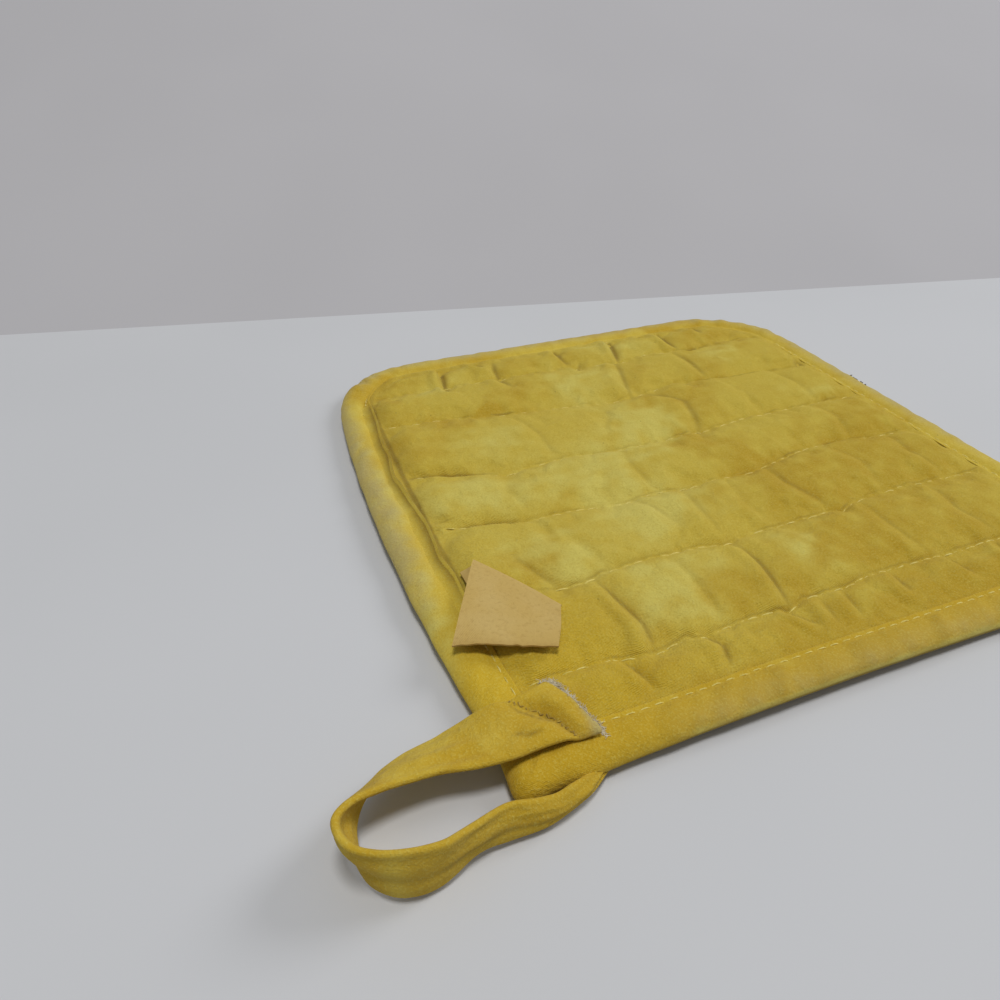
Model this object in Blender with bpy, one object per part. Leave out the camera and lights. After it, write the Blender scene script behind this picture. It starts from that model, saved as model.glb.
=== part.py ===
"""A used, channel-quilted cotton pot holder.

Four sewn pieces: the filled pad, the bias binding round its edge, the hanging loop, which is the
binding's free end carried round and sewn down on the corner, and a blank folded cotton label.

Plan millimetres are used throughout: x runs right along the near edge, y runs away along the left
edge and z is the height over the table, with x = 0, y = 0 close to the corner that holds the loop.
The origin of the finished pieces is the middle of the pad's underside.
"""
import math

import bmesh
import bpy
import numpy as np

MM = 0.001

# Outline of the bound edge.
LEFT_EDGE = 0.0
RIGHT_EDGE = 172.6
NEAR_EDGE = -0.8
FAR_EDGE = 174.2
CORNER_RADII = (30.0, 33.0, 29.0, 3.4)  # near right, far right, far left, loop corner
TIGHTEST_RADIUS = 1.2
CENTRE_X = (LEFT_EDGE + RIGHT_EDGE) / 2
CENTRE_Y = (NEAR_EDGE + FAR_EDGE) / 2

# The left side has stretched outwards in use, and the edges curl up a little from the table.
BOW = 3.9
BOW_SPAN = (15.0, 148.0)
BOW_REACH = 22.0
BOW_POWER = 0.75
NEAR_CURL = 1.0
NEAR_CURL_SPAN = (12.0, 116.0)
LEFT_CURL = 0.5
LEFT_CURL_SPAN = (24.0, 140.0)
CURL_REACH = 16.0
# The loop's corner is pushed out where the tape turns round it.
CORNER_PUSH = 1.2
CORNER_PUSH_REACH = 6.0

# Bound edge: a folded tape round the squeezed rim of the pad.
RIM_MIDDLE = 3.0
RIM_HALF_THICKNESS = 1.2
RIM_INSET = 1.8
RIM_SHOULDER = 3.2
BINDING_WIDTH = 9.6
SEAM_GAP = 0.35
TAPE_THICKNESS = 1.1
BINDING_HALF_HEIGHT = 2.65
CORNER_PUFF = 1.0
CORNER_PUFF_PLACE = (5.5, 3.5)
CORNER_PUFF_SIZE = 8.5
GATHER = 0.3
GATHER_PITCHES = (34.0, 21.0)
LIP_RISE = 0.7
LIP_SPAN = (52.0, 156.0)
LIP_WAVE = 19.0

# Filled pad.
SEAM_HEIGHT = 4.8
SIDE_ROUNDING = 6.0
CROWN_POWER = 0.46
GROOVE_BELOW = 0.8
FLAT_INSET = 13.5
GRID_COLUMNS = 40
UNDERSIDE_COLUMNS = 8

# Quilting lines, near edge to far edge, as (x, y) places along each line of stitches.
QUILT_LINES = (
    ((9.0, 21.0), (31.0, 21.3), (45.0, 20.0), (72.0, 20.6), (98.0, 22.3), (163.0, 21.0)),
    ((9.0, 46.5), (25.0, 45.4), (62.0, 46.3), (75.0, 44.4), (98.0, 46.0), (125.0, 48.3), (163.0, 47.0)),
    ((9.0, 76.0), (21.0, 74.4), (30.0, 71.2), (62.0, 69.2), (100.0, 68.8), (135.0, 74.2), (163.0, 71.5)),
    ((9.0, 103.0), (18.0, 99.6), (31.0, 94.8), (48.0, 94.8), (68.0, 92.6), (120.0, 96.0), (163.0, 95.5)),
    ((9.0, 133.0), (32.0, 129.4), (53.0, 124.8), (87.0, 120.5), (111.0, 124.8), (163.0, 120.4)),
    ((9.0, 150.5), (79.0, 149.0), (101.0, 146.0), (115.0, 149.3), (131.0, 146.5), (163.0, 147.0)),
)
# Each channel: (height of its crown over the stitches, the places of its grid rows across it).
NARROW_ROWS = (0.0, 0.22, 0.5, 0.78)
WIDE_ROWS = (0.0, 0.12, 0.32, 0.5, 0.68, 0.88)
CHANNELS = (
    (1.0, NARROW_ROWS),
    (1.8, WIDE_ROWS),
    (1.9, WIDE_ROWS),
    (1.9, WIDE_ROWS),
    (2.0, WIDE_ROWS),
    (1.9, WIDE_ROWS),
    (1.4, NARROW_ROWS),
)
# Creases across the channels: start x, y, end x, y, half width, height.
WRINKLES = (
    (37.2, 167.0, 35.8, 146.0, 1.9, -1.2),
    (50.6, 167.0, 51.5, 158.0, 1.8, -1.0),
    (57.0, 163.0, 55.5, 142.0, 2.4, -0.6),
    (82.5, 166.0, 82.0, 151.0, 2.2, -0.7),
    (106.6, 167.0, 100.8, 148.0, 2.0, -1.1),
    (98.5, 148.0, 91.0, 120.0, 2.6, -0.7),
    (104.0, 110.0, 96.0, 86.0, 3.6, -0.5),
    (119.2, 165.5, 117.2, 160.5, 1.8, -0.8),
    (126.4, 164.0, 125.4, 149.0, 2.2, -0.8),
    (121.8, 145.0, 122.0, 124.0, 2.8, -0.6),
    (37.7, 44.0, 39.6, 22.0, 1.9, -0.7),
    (76.0, 43.5, 74.5, 22.0, 1.9, -0.7),
    (75.5, 66.0, 74.6, 48.0, 2.4, -0.4),
    (104.5, 68.0, 107.5, 48.0, 2.8, -0.5),
    (139.0, 24.0, 140.0, 44.0, 2.6, -0.5),
    (33.0, 20.0, 34.0, 12.0, 1.8, -0.6),
    (52.5, 20.0, 52.0, 11.0, 1.8, -0.6),
    (73.0, 19.0, 77.0, 13.0, 1.8, -0.5),
    (88.5, 20.0, 87.5, 12.0, 1.8, -0.5),
)

# Hanging loop: the tape's lower outer edge and upper inner edge at each station, from where it
# leaves the near edge, round the loop's tip, to its cut end on the corner. The last column is how
# far the tape bows outwards between its edges. The tape starts thin, pressed on the binding.
LOOP_THICKNESS = 1.5
LOOP_START_THICKNESS = 0.5
LOOP_THICKENING = 7  # rings from the start to full thickness
LOOP_STEPS = 3
LOOP_STATIONS = (
    # outer x, y, z        inner x, y, z        bow
    ((15.4, -1.4, 1.8), (15.0, -0.5, 4.9), 1.0),
    ((13.1, -2.2, 1.2), (11.9, -1.5, 5.1), 1.0),
    ((10.7, -3.1, 0.9), (9.5, -2.1, 5.3), 0.9),
    ((7.4, -4.1, 0.8), (6.5, -2.9, 5.5), 0.9),
    ((3.1, -5.3, 0.9), (2.3, -2.8, 6.2), 0.9),
    ((-3.4, -5.4, 1.0), (-3.0, -2.6, 7.6), 0.6),
    ((-9.3, -5.5, 1.4), (-9.2, -4.9, 9.2), 0.2),
    ((-16.8, -8.4, 0.9), (-15.6, -7.1, 11.3), 0.2),
    ((-22.4, -7.9, 0.8), (-21.6, -7.0, 12.2), 0.2),
    ((-26.2, -4.9, 1.0), (-26.6, -5.6, 12.4), 0.0),
    ((-27.8, -1.0, 1.3), (-29.6, -3.4, 12.4), 0.0),
    ((-28.0, 2.4, 1.7), (-30.8, -0.4, 12.4), 0.0),
    ((-27.2, 6.4, 2.1), (-30.4, 2.4, 12.2), 0.0),
    ((-25.0, 10.2, 2.6), (-27.6, 4.4, 11.6), 0.0),
    ((-21.0, 13.6, 2.8), (-22.8, 5.5, 10.5), 0.2),
    ((-16.0, 15.8, 2.7), (-17.6, 6.1, 9.5), 0.4),
    ((-10.5, 17.0, 3.0), (-11.8, 5.9, 8.8), 0.5),
    ((-4.8, 17.7, 4.8), (-5.5, 4.6, 8.5), 0.4),
    ((0.8, 17.6, 7.3), (0.2, 4.1, 8.4), 0.2),
    ((6.5, 17.4, 7.6), (6.2, 4.4, 8.3), 0.1),
    ((10.8, 18.4, 7.3), (12.4, 4.6, 7.9), 0.0),
    ((14.0, 19.4, 7.0), (19.3, 4.2, 7.1), 0.0),
)

# Label: a cotton strip that leaves the binding's seam, folds back over itself and lies on the pad.
LABEL_THICKNESS = 1.0
LABEL_ROWS = 5
LABEL_FOLD_BULGE = 0.5
# The two side edges of the strip, from the seam, over the fold, to the free end.
LABEL_LEFT_SIDE = (
    (9.2, 56.4, 6.7),
    (11.4, 57.0, 6.9),
    (12.6, 57.4, 7.2),
    (13.1, 57.6, 7.9),
    (12.2, 56.6, 8.5),
    (6.4, 46.0, 8.6),
    (-0.2, 34.2, 7.9),
)
LABEL_RIGHT_SIDE = (
    (9.6, 42.6, 6.7),
    (17.4, 39.6, 7.5),
    (24.6, 36.8, 7.6),
    (25.4, 36.4, 8.2),
    (25.0, 35.6, 8.8),
    (22.6, 30.4, 9.0),
    (19.4, 24.8, 8.9),
)
LABEL_FREE_END_LIFT = 0.6

YELLOW_COTTON = ((0.62, 0.47, 0.06), 0.92)
YELLOW_TAPE = ((0.60, 0.43, 0.05), 0.9)
TAN_COTTON = ((0.52, 0.39, 0.22), 0.88)


def smooth(value):
    """Ease a value from 0 to 1 with level ends."""
    value = min(max(value, 0.0), 1.0)
    return value * value * (3.0 - 2.0 * value)


def hump(value, span):
    """Rise from 0 at one end of a span to 1 in its middle and back to 0."""
    share = min(max((value - span[0]) / (span[1] - span[0]), 0.0), 1.0)
    return math.sin(math.pi * share)


def edge_point(segment, share, inset):
    """A point on the outline, moved inwards by the inset.

    Segments run anticlockwise from the near side: even ones are sides, odd ones are corners.
    """
    left, right = LEFT_EDGE + inset, RIGHT_EDGE - inset
    near, far = NEAR_EDGE + inset, FAR_EDGE - inset
    radii = [max(radius - inset, TIGHTEST_RADIUS) for radius in CORNER_RADII]
    centres = (
        (right - radii[0], near + radii[0]),
        (right - radii[1], far - radii[1]),
        (left + radii[2], far - radii[2]),
        (left + radii[3], near + radii[3]),
    )

    def on_corner(corner, angle):
        centre_x, centre_y = centres[corner]
        return centre_x + radii[corner] * math.cos(angle), centre_y + radii[corner] * math.sin(angle)

    corner = segment // 2
    quarter = math.pi / 2
    if segment % 2:
        return on_corner(corner, (corner - 1 + share) * quarter)
    before = (corner - 1) % 4
    start = on_corner(before, before * quarter)
    end = on_corner(corner, (corner - 1) * quarter)
    return tuple(a + (b - a) * share for a, b in zip(start, end))


def side_station(y, on_right, inset):
    """The segment and share of the outline's point at height y on the left or right."""
    ends = [edge_point(segment, 0.0, inset) for segment in range(8)]
    near_corner, side, far_corner = (1, 2, 3) if on_right else (7, 6, 5)
    side_start = ends[side][1]
    side_end = ends[(side + 1) % 8][1]
    low, high = min(side_start, side_end), max(side_start, side_end)
    if low <= y <= high:
        return side, (y - side_start) / (side_end - side_start)
    corner = near_corner if y < low else far_corner
    radius = max(CORNER_RADII[corner // 2] - inset, TIGHTEST_RADIUS)
    edge = low if y < low else high
    turn = math.asin(min(max((y - edge) / radius, -1.0), 1.0)) / (math.pi / 2)
    if corner == 1:
        return corner, 1.0 + turn
    if corner == 3:
        return corner, turn
    return (corner, 1.0 - turn) if corner == 5 else (corner, -turn)


def inset_of(x, y):
    """How far a plan point lies inside the outline."""
    inset = min(x - LEFT_EDGE, RIGHT_EDGE - x, y - NEAR_EDGE, FAR_EDGE - y)
    corners = ((RIGHT_EDGE, NEAR_EDGE), (RIGHT_EDGE, FAR_EDGE), (LEFT_EDGE, FAR_EDGE), (LEFT_EDGE, NEAR_EDGE))
    for (corner_x, corner_y), radius in zip(corners, CORNER_RADII):
        from_x, from_y = abs(x - corner_x), abs(y - corner_y)
        if from_x < radius and from_y < radius:
            inset = min(inset, radius - math.hypot(radius - from_x, radius - from_y))
    return inset


def settle(x, y, z):
    """Bow the left side outwards and curl the edges up, as the used cloth lies, in metres."""
    bow = BOW * hump(y, BOW_SPAN) ** BOW_POWER * max(0.0, 1.0 - x / BOW_REACH)
    near = NEAR_CURL * hump(x, NEAR_CURL_SPAN) * max(0.0, 1.0 - (y - NEAR_EDGE) / CURL_REACH)
    left = LEFT_CURL * hump(y, LEFT_CURL_SPAN) * max(0.0, 1.0 - (x - LEFT_EDGE) / CURL_REACH)
    push = CORNER_PUSH * math.exp(-(x ** 2 + y ** 2) / CORNER_PUSH_REACH ** 2)
    return place(x - bow - push / 2, y - push, z + near + left)


def place(x, y, z):
    """Turn plan millimetres into metres about the middle of the underside."""
    return (x - CENTRE_X) * MM, (y - CENTRE_Y) * MM, z * MM


def line_places(x):
    """The y of the near seam, each line of stitches and the far seam at x."""
    inner = BINDING_WIDTH + SEAM_GAP
    lines = [np.interp(x, *zip(*line)) for line in QUILT_LINES]
    return [NEAR_EDGE + inner, *lines, FAR_EDGE - inner]


def wrinkle_height(x, y):
    """Sum of the wrinkles and creases at a plan point."""
    height = 0.0
    for start_x, start_y, end_x, end_y, half_width, rise in WRINKLES:
        run_x, run_y = end_x - start_x, end_y - start_y
        length = math.hypot(run_x, run_y)
        along = ((x - start_x) * run_x + (y - start_y) * run_y) / length
        across = ((x - start_x) * run_y - (y - start_y) * run_x) / length
        beyond = max(-along, along - length, 0.0)
        height += rise * math.exp(-(across ** 2 + beyond ** 2) / half_width ** 2)
    return height


def pad_top(x, y):
    """Height of the quilted face."""
    lines = line_places(x)
    channel = min(max(np.searchsorted(lines, y) - 1, 0), len(CHANNELS) - 1)
    share = (y - lines[channel]) / (lines[channel + 1] - lines[channel])
    crown = math.sin(math.pi * min(max(share, 0.0), 1.0)) ** CROWN_POWER
    inside = smooth((inset_of(x, y) - BINDING_WIDTH - SEAM_GAP) / SIDE_ROUNDING)
    return SEAM_HEIGHT + (CHANNELS[channel][0] * crown + wrinkle_height(x, y) * (0.4 + 0.6 * crown)) * inside


def ring_of(stations, inset, height):
    """The points of one ring of the rim, at an inset and a height."""
    return [settle(*edge_point(segment, share, inset), height) for segment, share in stations]


def bridge(mesh, first, second):
    """Join two closed rings of vertices with quads, first below or outside second."""
    count = len(first)
    for index in range(count):
        after = (index + 1) % count
        mesh.faces.new((first[index], first[after], second[after], second[index]))


def finish_piece(name, mesh, finish, parent):
    """Turn a bmesh into a named, smooth-shaded object with its own cloth material."""
    bmesh.ops.triangulate(mesh, faces=mesh.faces[:])
    data = bpy.data.meshes.new(name)
    mesh.to_mesh(data)
    mesh.free()
    data.shade_smooth()
    colour, roughness = finish
    material = bpy.data.materials.new(name + "_cloth")
    material.use_nodes = True
    shader = material.node_tree.nodes["Principled BSDF"]
    shader.inputs["Base Color"].default_value = (*colour, 1.0)
    shader.inputs["Roughness"].default_value = roughness
    shader.inputs["Metallic"].default_value = 0.0
    data.materials.append(material)
    piece = bpy.data.objects.new(name, data)
    piece.parent = parent
    bpy.context.scene.collection.objects.link(piece)
    return piece


def build_pad(parent):
    """The filled pad: quilted face, squeezed rim inside the binding, flat underside with grooves."""
    seam_inset = BINDING_WIDTH + SEAM_GAP
    nominal = line_places(CENTRE_X)
    rows = []
    for channel, (_, shares) in enumerate(CHANNELS):
        width = nominal[channel + 1] - nominal[channel]
        rows += [(channel, share, nominal[channel] + share * width) for share in shares]
    rows.append((len(CHANNELS) - 1, 1.0, nominal[-1]))
    last_row = len(rows) - 1

    near_side = [(0, column / GRID_COLUMNS) for column in range(GRID_COLUMNS + 1)]
    far_side = [(4, 1.0 - column / GRID_COLUMNS) for column in range(GRID_COLUMNS + 1)]
    right_side = [side_station(row[2], True, seam_inset) for row in rows[1:-1]]
    left_side = [side_station(row[2], False, seam_inset) for row in rows[1:-1]]
    stations = near_side + right_side + far_side[::-1] + left_side[::-1]

    mesh = bmesh.new()

    def add_ring(inset, height):
        return [mesh.verts.new(point) for point in ring_of(stations, inset, height)]

    # Quilted face: the grid's border lies on the seam, its rows follow the lines of stitches.
    face = []
    for index, (channel, share, y) in enumerate(rows):
        if index == 0:
            start, end = near_side[0], near_side[-1]
        elif index == last_row:
            start, end = far_side[0], far_side[-1]
        else:
            start, end = left_side[index - 1], right_side[index - 1]
        left_x = edge_point(*start, seam_inset)[0]
        right_x = edge_point(*end, seam_inset)[0]
        line = []
        for column in range(GRID_COLUMNS + 1):
            x = left_x + (right_x - left_x) * column / GRID_COLUMNS
            from_side = min(column, GRID_COLUMNS - column) / 2
            lines = line_places(x)
            wander = lines[channel] + share * (lines[channel + 1] - lines[channel]) - y
            row_y = y + wander * min(from_side, 1.0)
            line.append(mesh.verts.new(settle(x, row_y, pad_top(x, row_y))))
        face.append(line)
    for lower, upper in zip(face, face[1:]):
        for column in range(GRID_COLUMNS):
            mesh.faces.new((lower[column], lower[column + 1], upper[column + 1], upper[column]))
    border = face[0] + [line[-1] for line in face[1:-1]] + face[-1][::-1]
    border += [line[0] for line in face[1:-1]][::-1]

    # Rim: squeezed thin between the two arms of the binding.
    rim = add_ring(RIM_INSET, RIM_MIDDLE)
    top_shoulder = add_ring(RIM_SHOULDER, RIM_MIDDLE + RIM_HALF_THICKNESS)
    top_seam = add_ring(seam_inset - 0.2, RIM_MIDDLE + RIM_HALF_THICKNESS)
    low_shoulder = add_ring(RIM_SHOULDER, RIM_MIDDLE - RIM_HALF_THICKNESS)
    low_seam = add_ring(seam_inset - 0.2, RIM_MIDDLE - RIM_HALF_THICKNESS)
    bridge(mesh, top_seam, border)
    bridge(mesh, top_shoulder, top_seam)
    bridge(mesh, rim, top_shoulder)
    bridge(mesh, low_shoulder, rim)
    bridge(mesh, low_seam, low_shoulder)

    # Underside: flat on the table, with a shallow groove under each line of stitches.
    flat = add_ring(FLAT_INSET, 0.0)
    bridge(mesh, flat, low_seam)
    corner_count = GRID_COLUMNS + 1
    sides = last_row - 1
    near_flat = flat[:corner_count]
    right_flat = flat[corner_count:corner_count + sides]
    far_flat = flat[corner_count + sides:2 * corner_count + sides][::-1]
    left_flat = flat[2 * corner_count + sides:][::-1]
    step = GRID_COLUMNS // UNDERSIDE_COLUMNS
    under = []
    for index in range(1, last_row):
        left_vertex, right_vertex = left_flat[index - 1], right_flat[index - 1]
        stitched = rows[index][1] == 0.0
        line = [left_vertex]
        for column in range(1, UNDERSIDE_COLUMNS):
            point = left_vertex.co.lerp(right_vertex.co, column / UNDERSIDE_COLUMNS)
            point.z = GROOVE_BELOW * MM if stitched else 0.0
            line.append(mesh.verts.new(point))
        under.append([*line, right_vertex])
    for lower, upper in zip(under, under[1:]):
        for column in range(UNDERSIDE_COLUMNS):
            mesh.faces.new((lower[column], upper[column], upper[column + 1], lower[column + 1]))
    for column in range(UNDERSIDE_COLUMNS):
        near_run = near_flat[column * step:(column + 1) * step + 1]
        far_run = far_flat[column * step:(column + 1) * step + 1]
        mesh.faces.new((*near_run[::-1], under[0][column], under[0][column + 1]))
        mesh.faces.new((*far_run, under[-1][column + 1], under[-1][column]))
    return finish_piece("pad", mesh, YELLOW_COTTON, parent)


def binding_section(x, y, on_left):
    """The folded tape's outline as (inset, height) pairs, round its outside and back inside."""
    puff_x, puff_y = CORNER_PUFF_PLACE
    puff = CORNER_PUFF * math.exp(-((x - puff_x) ** 2 + (y - puff_y) ** 2) / CORNER_PUFF_SIZE ** 2)
    ripple = 0.6 + 0.4 * math.sin(2 * math.pi * y / LIP_WAVE)
    lip = LIP_RISE * smooth(3.0 * hump(y, LIP_SPAN)) * ripple if on_left else 0.0
    long_pitch, short_pitch = GATHER_PITCHES
    long_wave = math.sin(2 * math.pi * (x + y) / long_pitch)
    short_wave = math.sin(2 * math.pi * (x - y) / short_pitch)
    gather = GATHER * (long_wave + short_wave) / 2
    half = BINDING_HALF_HEIGHT
    top = RIM_MIDDLE + half + puff
    inner = half - TAPE_THICKNESS
    return (
        (BINDING_WIDTH, top - 0.7 + lip),
        (BINDING_WIDTH - 0.7, top - 0.1 + lip),
        (BINDING_WIDTH - 2.4, top - 0.1),
        (4.4, top + gather),
        (1.8, top - 0.7 + gather),
        (0.4 - gather, RIM_MIDDLE + 1.0 + puff / 2),
        (-gather, RIM_MIDDLE - 0.2),
        (0.5, RIM_MIDDLE - 1.4),
        (2.0, RIM_MIDDLE - half + 0.4),
        (5.0, RIM_MIDDLE - half),
        (BINDING_WIDTH, RIM_MIDDLE - half + 0.1),
        (BINDING_WIDTH, RIM_MIDDLE - inner),
        (2.8, RIM_MIDDLE - inner),
        (1.35, RIM_MIDDLE),
        (2.8, RIM_MIDDLE + inner),
        (BINDING_WIDTH, RIM_MIDDLE + inner),
    )


def build_binding(parent):
    """The bias binding: a folded tape swept round the whole outline."""
    steps = {0: 22, 2: 14, 4: 14, 6: 22}
    stations = []
    for segment in range(8):
        count = steps.get(segment, 9)
        stations += [(segment, index / count) for index in range(count)]
    mesh = bmesh.new()
    rings = []
    for segment, share in stations:
        edge_x, edge_y = edge_point(segment, share, 0.0)
        section = binding_section(edge_x, edge_y, edge_x < LEFT_EDGE + 3.0)
        points = [settle(*edge_point(segment, share, inset), height) for inset, height in section]
        rings.append([mesh.verts.new(point) for point in points])
    for index, ring in enumerate(rings):
        bridge(mesh, ring, rings[(index + 1) % len(rings)])
    return finish_piece("binding", mesh, YELLOW_TAPE, parent)


def spline_through(rows, steps):
    """Rows of a smooth curve through the given rows, with the given steps between each pair."""
    table = np.array(rows)
    table = np.vstack([2 * table[0] - table[1], table, 2 * table[-1] - table[-2]])
    curve = []
    for index in range(1, len(table) - 2):
        before, start, end, after = table[index - 1:index + 3]
        for step in range(steps):
            share = step / steps
            curve.append(0.5 * (2 * start + (end - before) * share
                                + (2 * before - 5 * start + 4 * end - after) * share ** 2
                                + (3 * start - before - 3 * end + after) * share ** 3))
    curve.append(table[-2])
    return np.array(curve)


def build_hanging_loop(parent):
    """The hanging loop: one flat folded tape, swept through its stations with rounded edges."""
    rows = [(*outer, *inner, bow) for outer, inner, bow in LOOP_STATIONS]
    curve = spline_through(rows, LOOP_STEPS)
    outer, inner, bows = curve[:, 0:3], curve[:, 3:6], curve[:, 6]
    middle = (outer + inner) / 2
    run = np.gradient(middle, axis=0)
    run /= np.linalg.norm(run, axis=1)[:, None]
    mesh = bmesh.new()
    rings = []
    for index, bow in enumerate(bows):
        thickening = smooth(index / LOOP_THICKENING)
        half = (LOOP_START_THICKNESS + (LOOP_THICKNESS - LOOP_START_THICKNESS) * thickening) / 2
        width = inner[index] - outer[index]
        span = np.linalg.norm(width)
        across = width / span
        normal = np.cross(across, run[index])
        normal /= np.linalg.norm(normal)
        edge = half / span
        section = (
            (0.0, 0.0), (edge, half), (0.27, half), (0.5, half), (0.73, half), (1.0 - edge, half),
            (1.0, 0.0), (1.0 - edge, -half), (0.73, -half), (0.5, -half), (0.27, -half), (edge, -half),
        )
        ring = []
        for share, rise in section:
            lift = rise + bow * 4.0 * share * (1.0 - share)
            ring.append(mesh.verts.new(place(*(outer[index] + width * share + normal * lift))))
        rings.append(ring)
    for first, second in zip(rings, rings[1:]):
        bridge(mesh, first, second)
    mesh.faces.new(rings[0][::-1])
    mesh.faces.new(rings[-1])
    return finish_piece("hanging_loop", mesh, YELLOW_TAPE, parent)


def build_label(parent):
    """The blank label: a strip folded back over itself, its free end lifted off the pad."""
    fold = 3
    mesh = bmesh.new()
    rows = []
    for row in range(LABEL_ROWS):
        share = row / (LABEL_ROWS - 1)
        arch = math.sin(math.pi * share)
        line = []
        for index, (left, right) in enumerate(zip(LABEL_LEFT_SIDE, LABEL_RIGHT_SIDE)):
            point = np.array(left) + (np.array(right) - np.array(left)) * share
            near_fold = max(0.0, 1.0 - abs(index - fold) / 2)
            point += LABEL_FOLD_BULGE * arch * near_fold * np.array((0.87, 0.49, 0.0))
            if index == len(LABEL_LEFT_SIDE) - 1:
                point[2] += LABEL_FREE_END_LIFT * arch
            line.append(mesh.verts.new(place(*point)))
        rows.append(line)
    for lower, upper in zip(rows, rows[1:]):
        for index in range(len(lower) - 1):
            mesh.faces.new((lower[index], lower[index + 1], upper[index + 1], upper[index]))
    label = finish_piece("label", mesh, TAN_COTTON, parent)
    thickness = label.modifiers.new("cloth thickness", "SOLIDIFY")
    thickness.thickness = LABEL_THICKNESS * MM
    thickness.offset = 0.0
    thickness.use_even_offset = True
    return label


def main():
    """Clear the scene and build the four sewn pieces."""
    for old in list(bpy.data.objects):
        bpy.data.objects.remove(old, do_unlink=True)
    pot_holder = bpy.data.objects.new("pot_holder", None)
    bpy.context.scene.collection.objects.link(pot_holder)
    build_pad(pot_holder)
    build_binding(pot_holder)
    build_hanging_loop(pot_holder)
    build_label(pot_holder)


main()
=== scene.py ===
"""Looks of a used, channel-quilted cotton pot holder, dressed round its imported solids.

Plan millimetres are used throughout: x runs right along the near edge, y runs away along the left
edge and z is the height over the table, with x = 0, y = 0 close to the corner that holds the loop.
Plan.to_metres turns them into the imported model's metres.
"""
import logging
import math
from dataclasses import dataclass, field
from enum import Enum

import bmesh
import bpy
import numpy as np
from mathutils import Matrix, Vector


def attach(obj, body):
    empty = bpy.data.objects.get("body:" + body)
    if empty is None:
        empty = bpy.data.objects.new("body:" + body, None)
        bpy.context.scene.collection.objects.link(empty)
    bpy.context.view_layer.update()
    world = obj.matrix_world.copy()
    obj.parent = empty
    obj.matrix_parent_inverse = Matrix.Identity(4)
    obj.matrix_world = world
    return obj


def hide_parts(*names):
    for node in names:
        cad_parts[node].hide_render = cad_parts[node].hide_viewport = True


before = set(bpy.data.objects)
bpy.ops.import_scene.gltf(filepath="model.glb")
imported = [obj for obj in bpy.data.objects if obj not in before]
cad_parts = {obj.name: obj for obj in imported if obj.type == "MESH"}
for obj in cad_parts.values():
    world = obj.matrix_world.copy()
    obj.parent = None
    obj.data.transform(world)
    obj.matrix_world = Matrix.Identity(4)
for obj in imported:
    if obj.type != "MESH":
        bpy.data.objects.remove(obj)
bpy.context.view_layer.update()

LOG = logging.getLogger("pot_holder")
MM = 0.001
TAU = 2 * math.pi
# The plan direction that a crease's gentle side faces: to the right and away.
GENTLE_SIDE = (0.85, 0.53)

Point = tuple[float, ...]
Line = tuple[tuple[float, float], ...]


class Cloth(Enum):
    """The pot holder's kinds of cloth, by the record's slot that each takes."""

    FACE = "quilted_cotton"
    TAPE = "binding_cotton"
    LOOP = "loop_cotton"
    LABEL = "label_cotton"


# ---------------------------------------------------------------- plan and shape helpers


def eased(value: np.ndarray) -> np.ndarray:
    """Ease values from 0 to 1 with level ends."""
    value = np.clip(value, 0.0, 1.0)
    return value * value * (3.0 - 2.0 * value)


def hump(value: np.ndarray, start: float, end: float) -> np.ndarray:
    """Rise from 0 at one end of a span to 1 in its middle and back to 0."""
    return np.sin(np.pi * np.clip((value - start) / (end - start), 0.0, 1.0))


def bell(distance: np.ndarray, width: float) -> np.ndarray:
    """A bell-shaped bump: 1 at no distance, about 0.37 at its width."""
    return np.exp(-((distance / width) ** 2))


def fading(place: np.ndarray, margin: float, power: float) -> np.ndarray:
    """Rise and fall along a span of 0 to 1, held level over a margin at both its ends."""
    return np.sin(np.pi * np.clip(place, margin, 1.0 - margin)) ** power


def along_line(
    x: np.ndarray, y: np.ndarray, line: Line
) -> tuple[np.ndarray, np.ndarray, np.ndarray]:
    """Find the nearest place on a line of straight runs.

    Args:
        x: Plan x of the points.
        y: Plan y of the points.
        line: The corners of the line.

    Returns:
        The distance of each point from the line, the nearest place as a share of its length, and
        how far the point lies to the line's right and far side.
    """
    corners = np.array(line)
    lengths = np.hypot(*np.diff(corners, axis=0).T)
    starts = np.concatenate([[0.0], np.cumsum(lengths)])
    best = np.full(np.shape(x), np.inf)
    place = np.zeros(np.shape(x))
    side = np.zeros(np.shape(x))
    for index, length in enumerate(lengths):
        (x0, y0), (x1, y1) = corners[index], corners[index + 1]
        share = ((x - x0) * (x1 - x0) + (y - y0) * (y1 - y0)) / length**2
        share = np.clip(share, 0.0, 1.0)
        off_x, off_y = x - x0 - share * (x1 - x0), y - y0 - share * (y1 - y0)
        distance = np.hypot(off_x, off_y)
        nearer = distance < best
        best = np.where(nearer, distance, best)
        place = np.where(nearer, (starts[index] + share * length) / starts[-1], place)
        side = np.where(nearer, GENTLE_SIDE[0] * off_x + GENTLE_SIDE[1] * off_y, side)
    return best, place, side


def curve_through(rows: np.ndarray, steps: int) -> np.ndarray:
    """Pass a smooth curve through rows of numbers.

    Args:
        rows: One row for each station.
        steps: The steps between one station and the next.

    Returns:
        The rows of the curve, the first and last as given.
    """
    table = np.vstack([2 * rows[0] - rows[1], rows, 2 * rows[-1] - rows[-2]])
    curve = []
    for index in range(1, len(table) - 2):
        before, start, end, after = table[index - 1 : index + 3]
        for step in range(steps):
            t = step / steps
            bend = 2 * before - 5 * start + 4 * end - after
            twist = 3 * start - before - 3 * end + after
            curve.append(0.5 * (2 * start + (end - before) * t + bend * t**2 + twist * t**3))
    return np.array([*curve, table[-2]])


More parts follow.
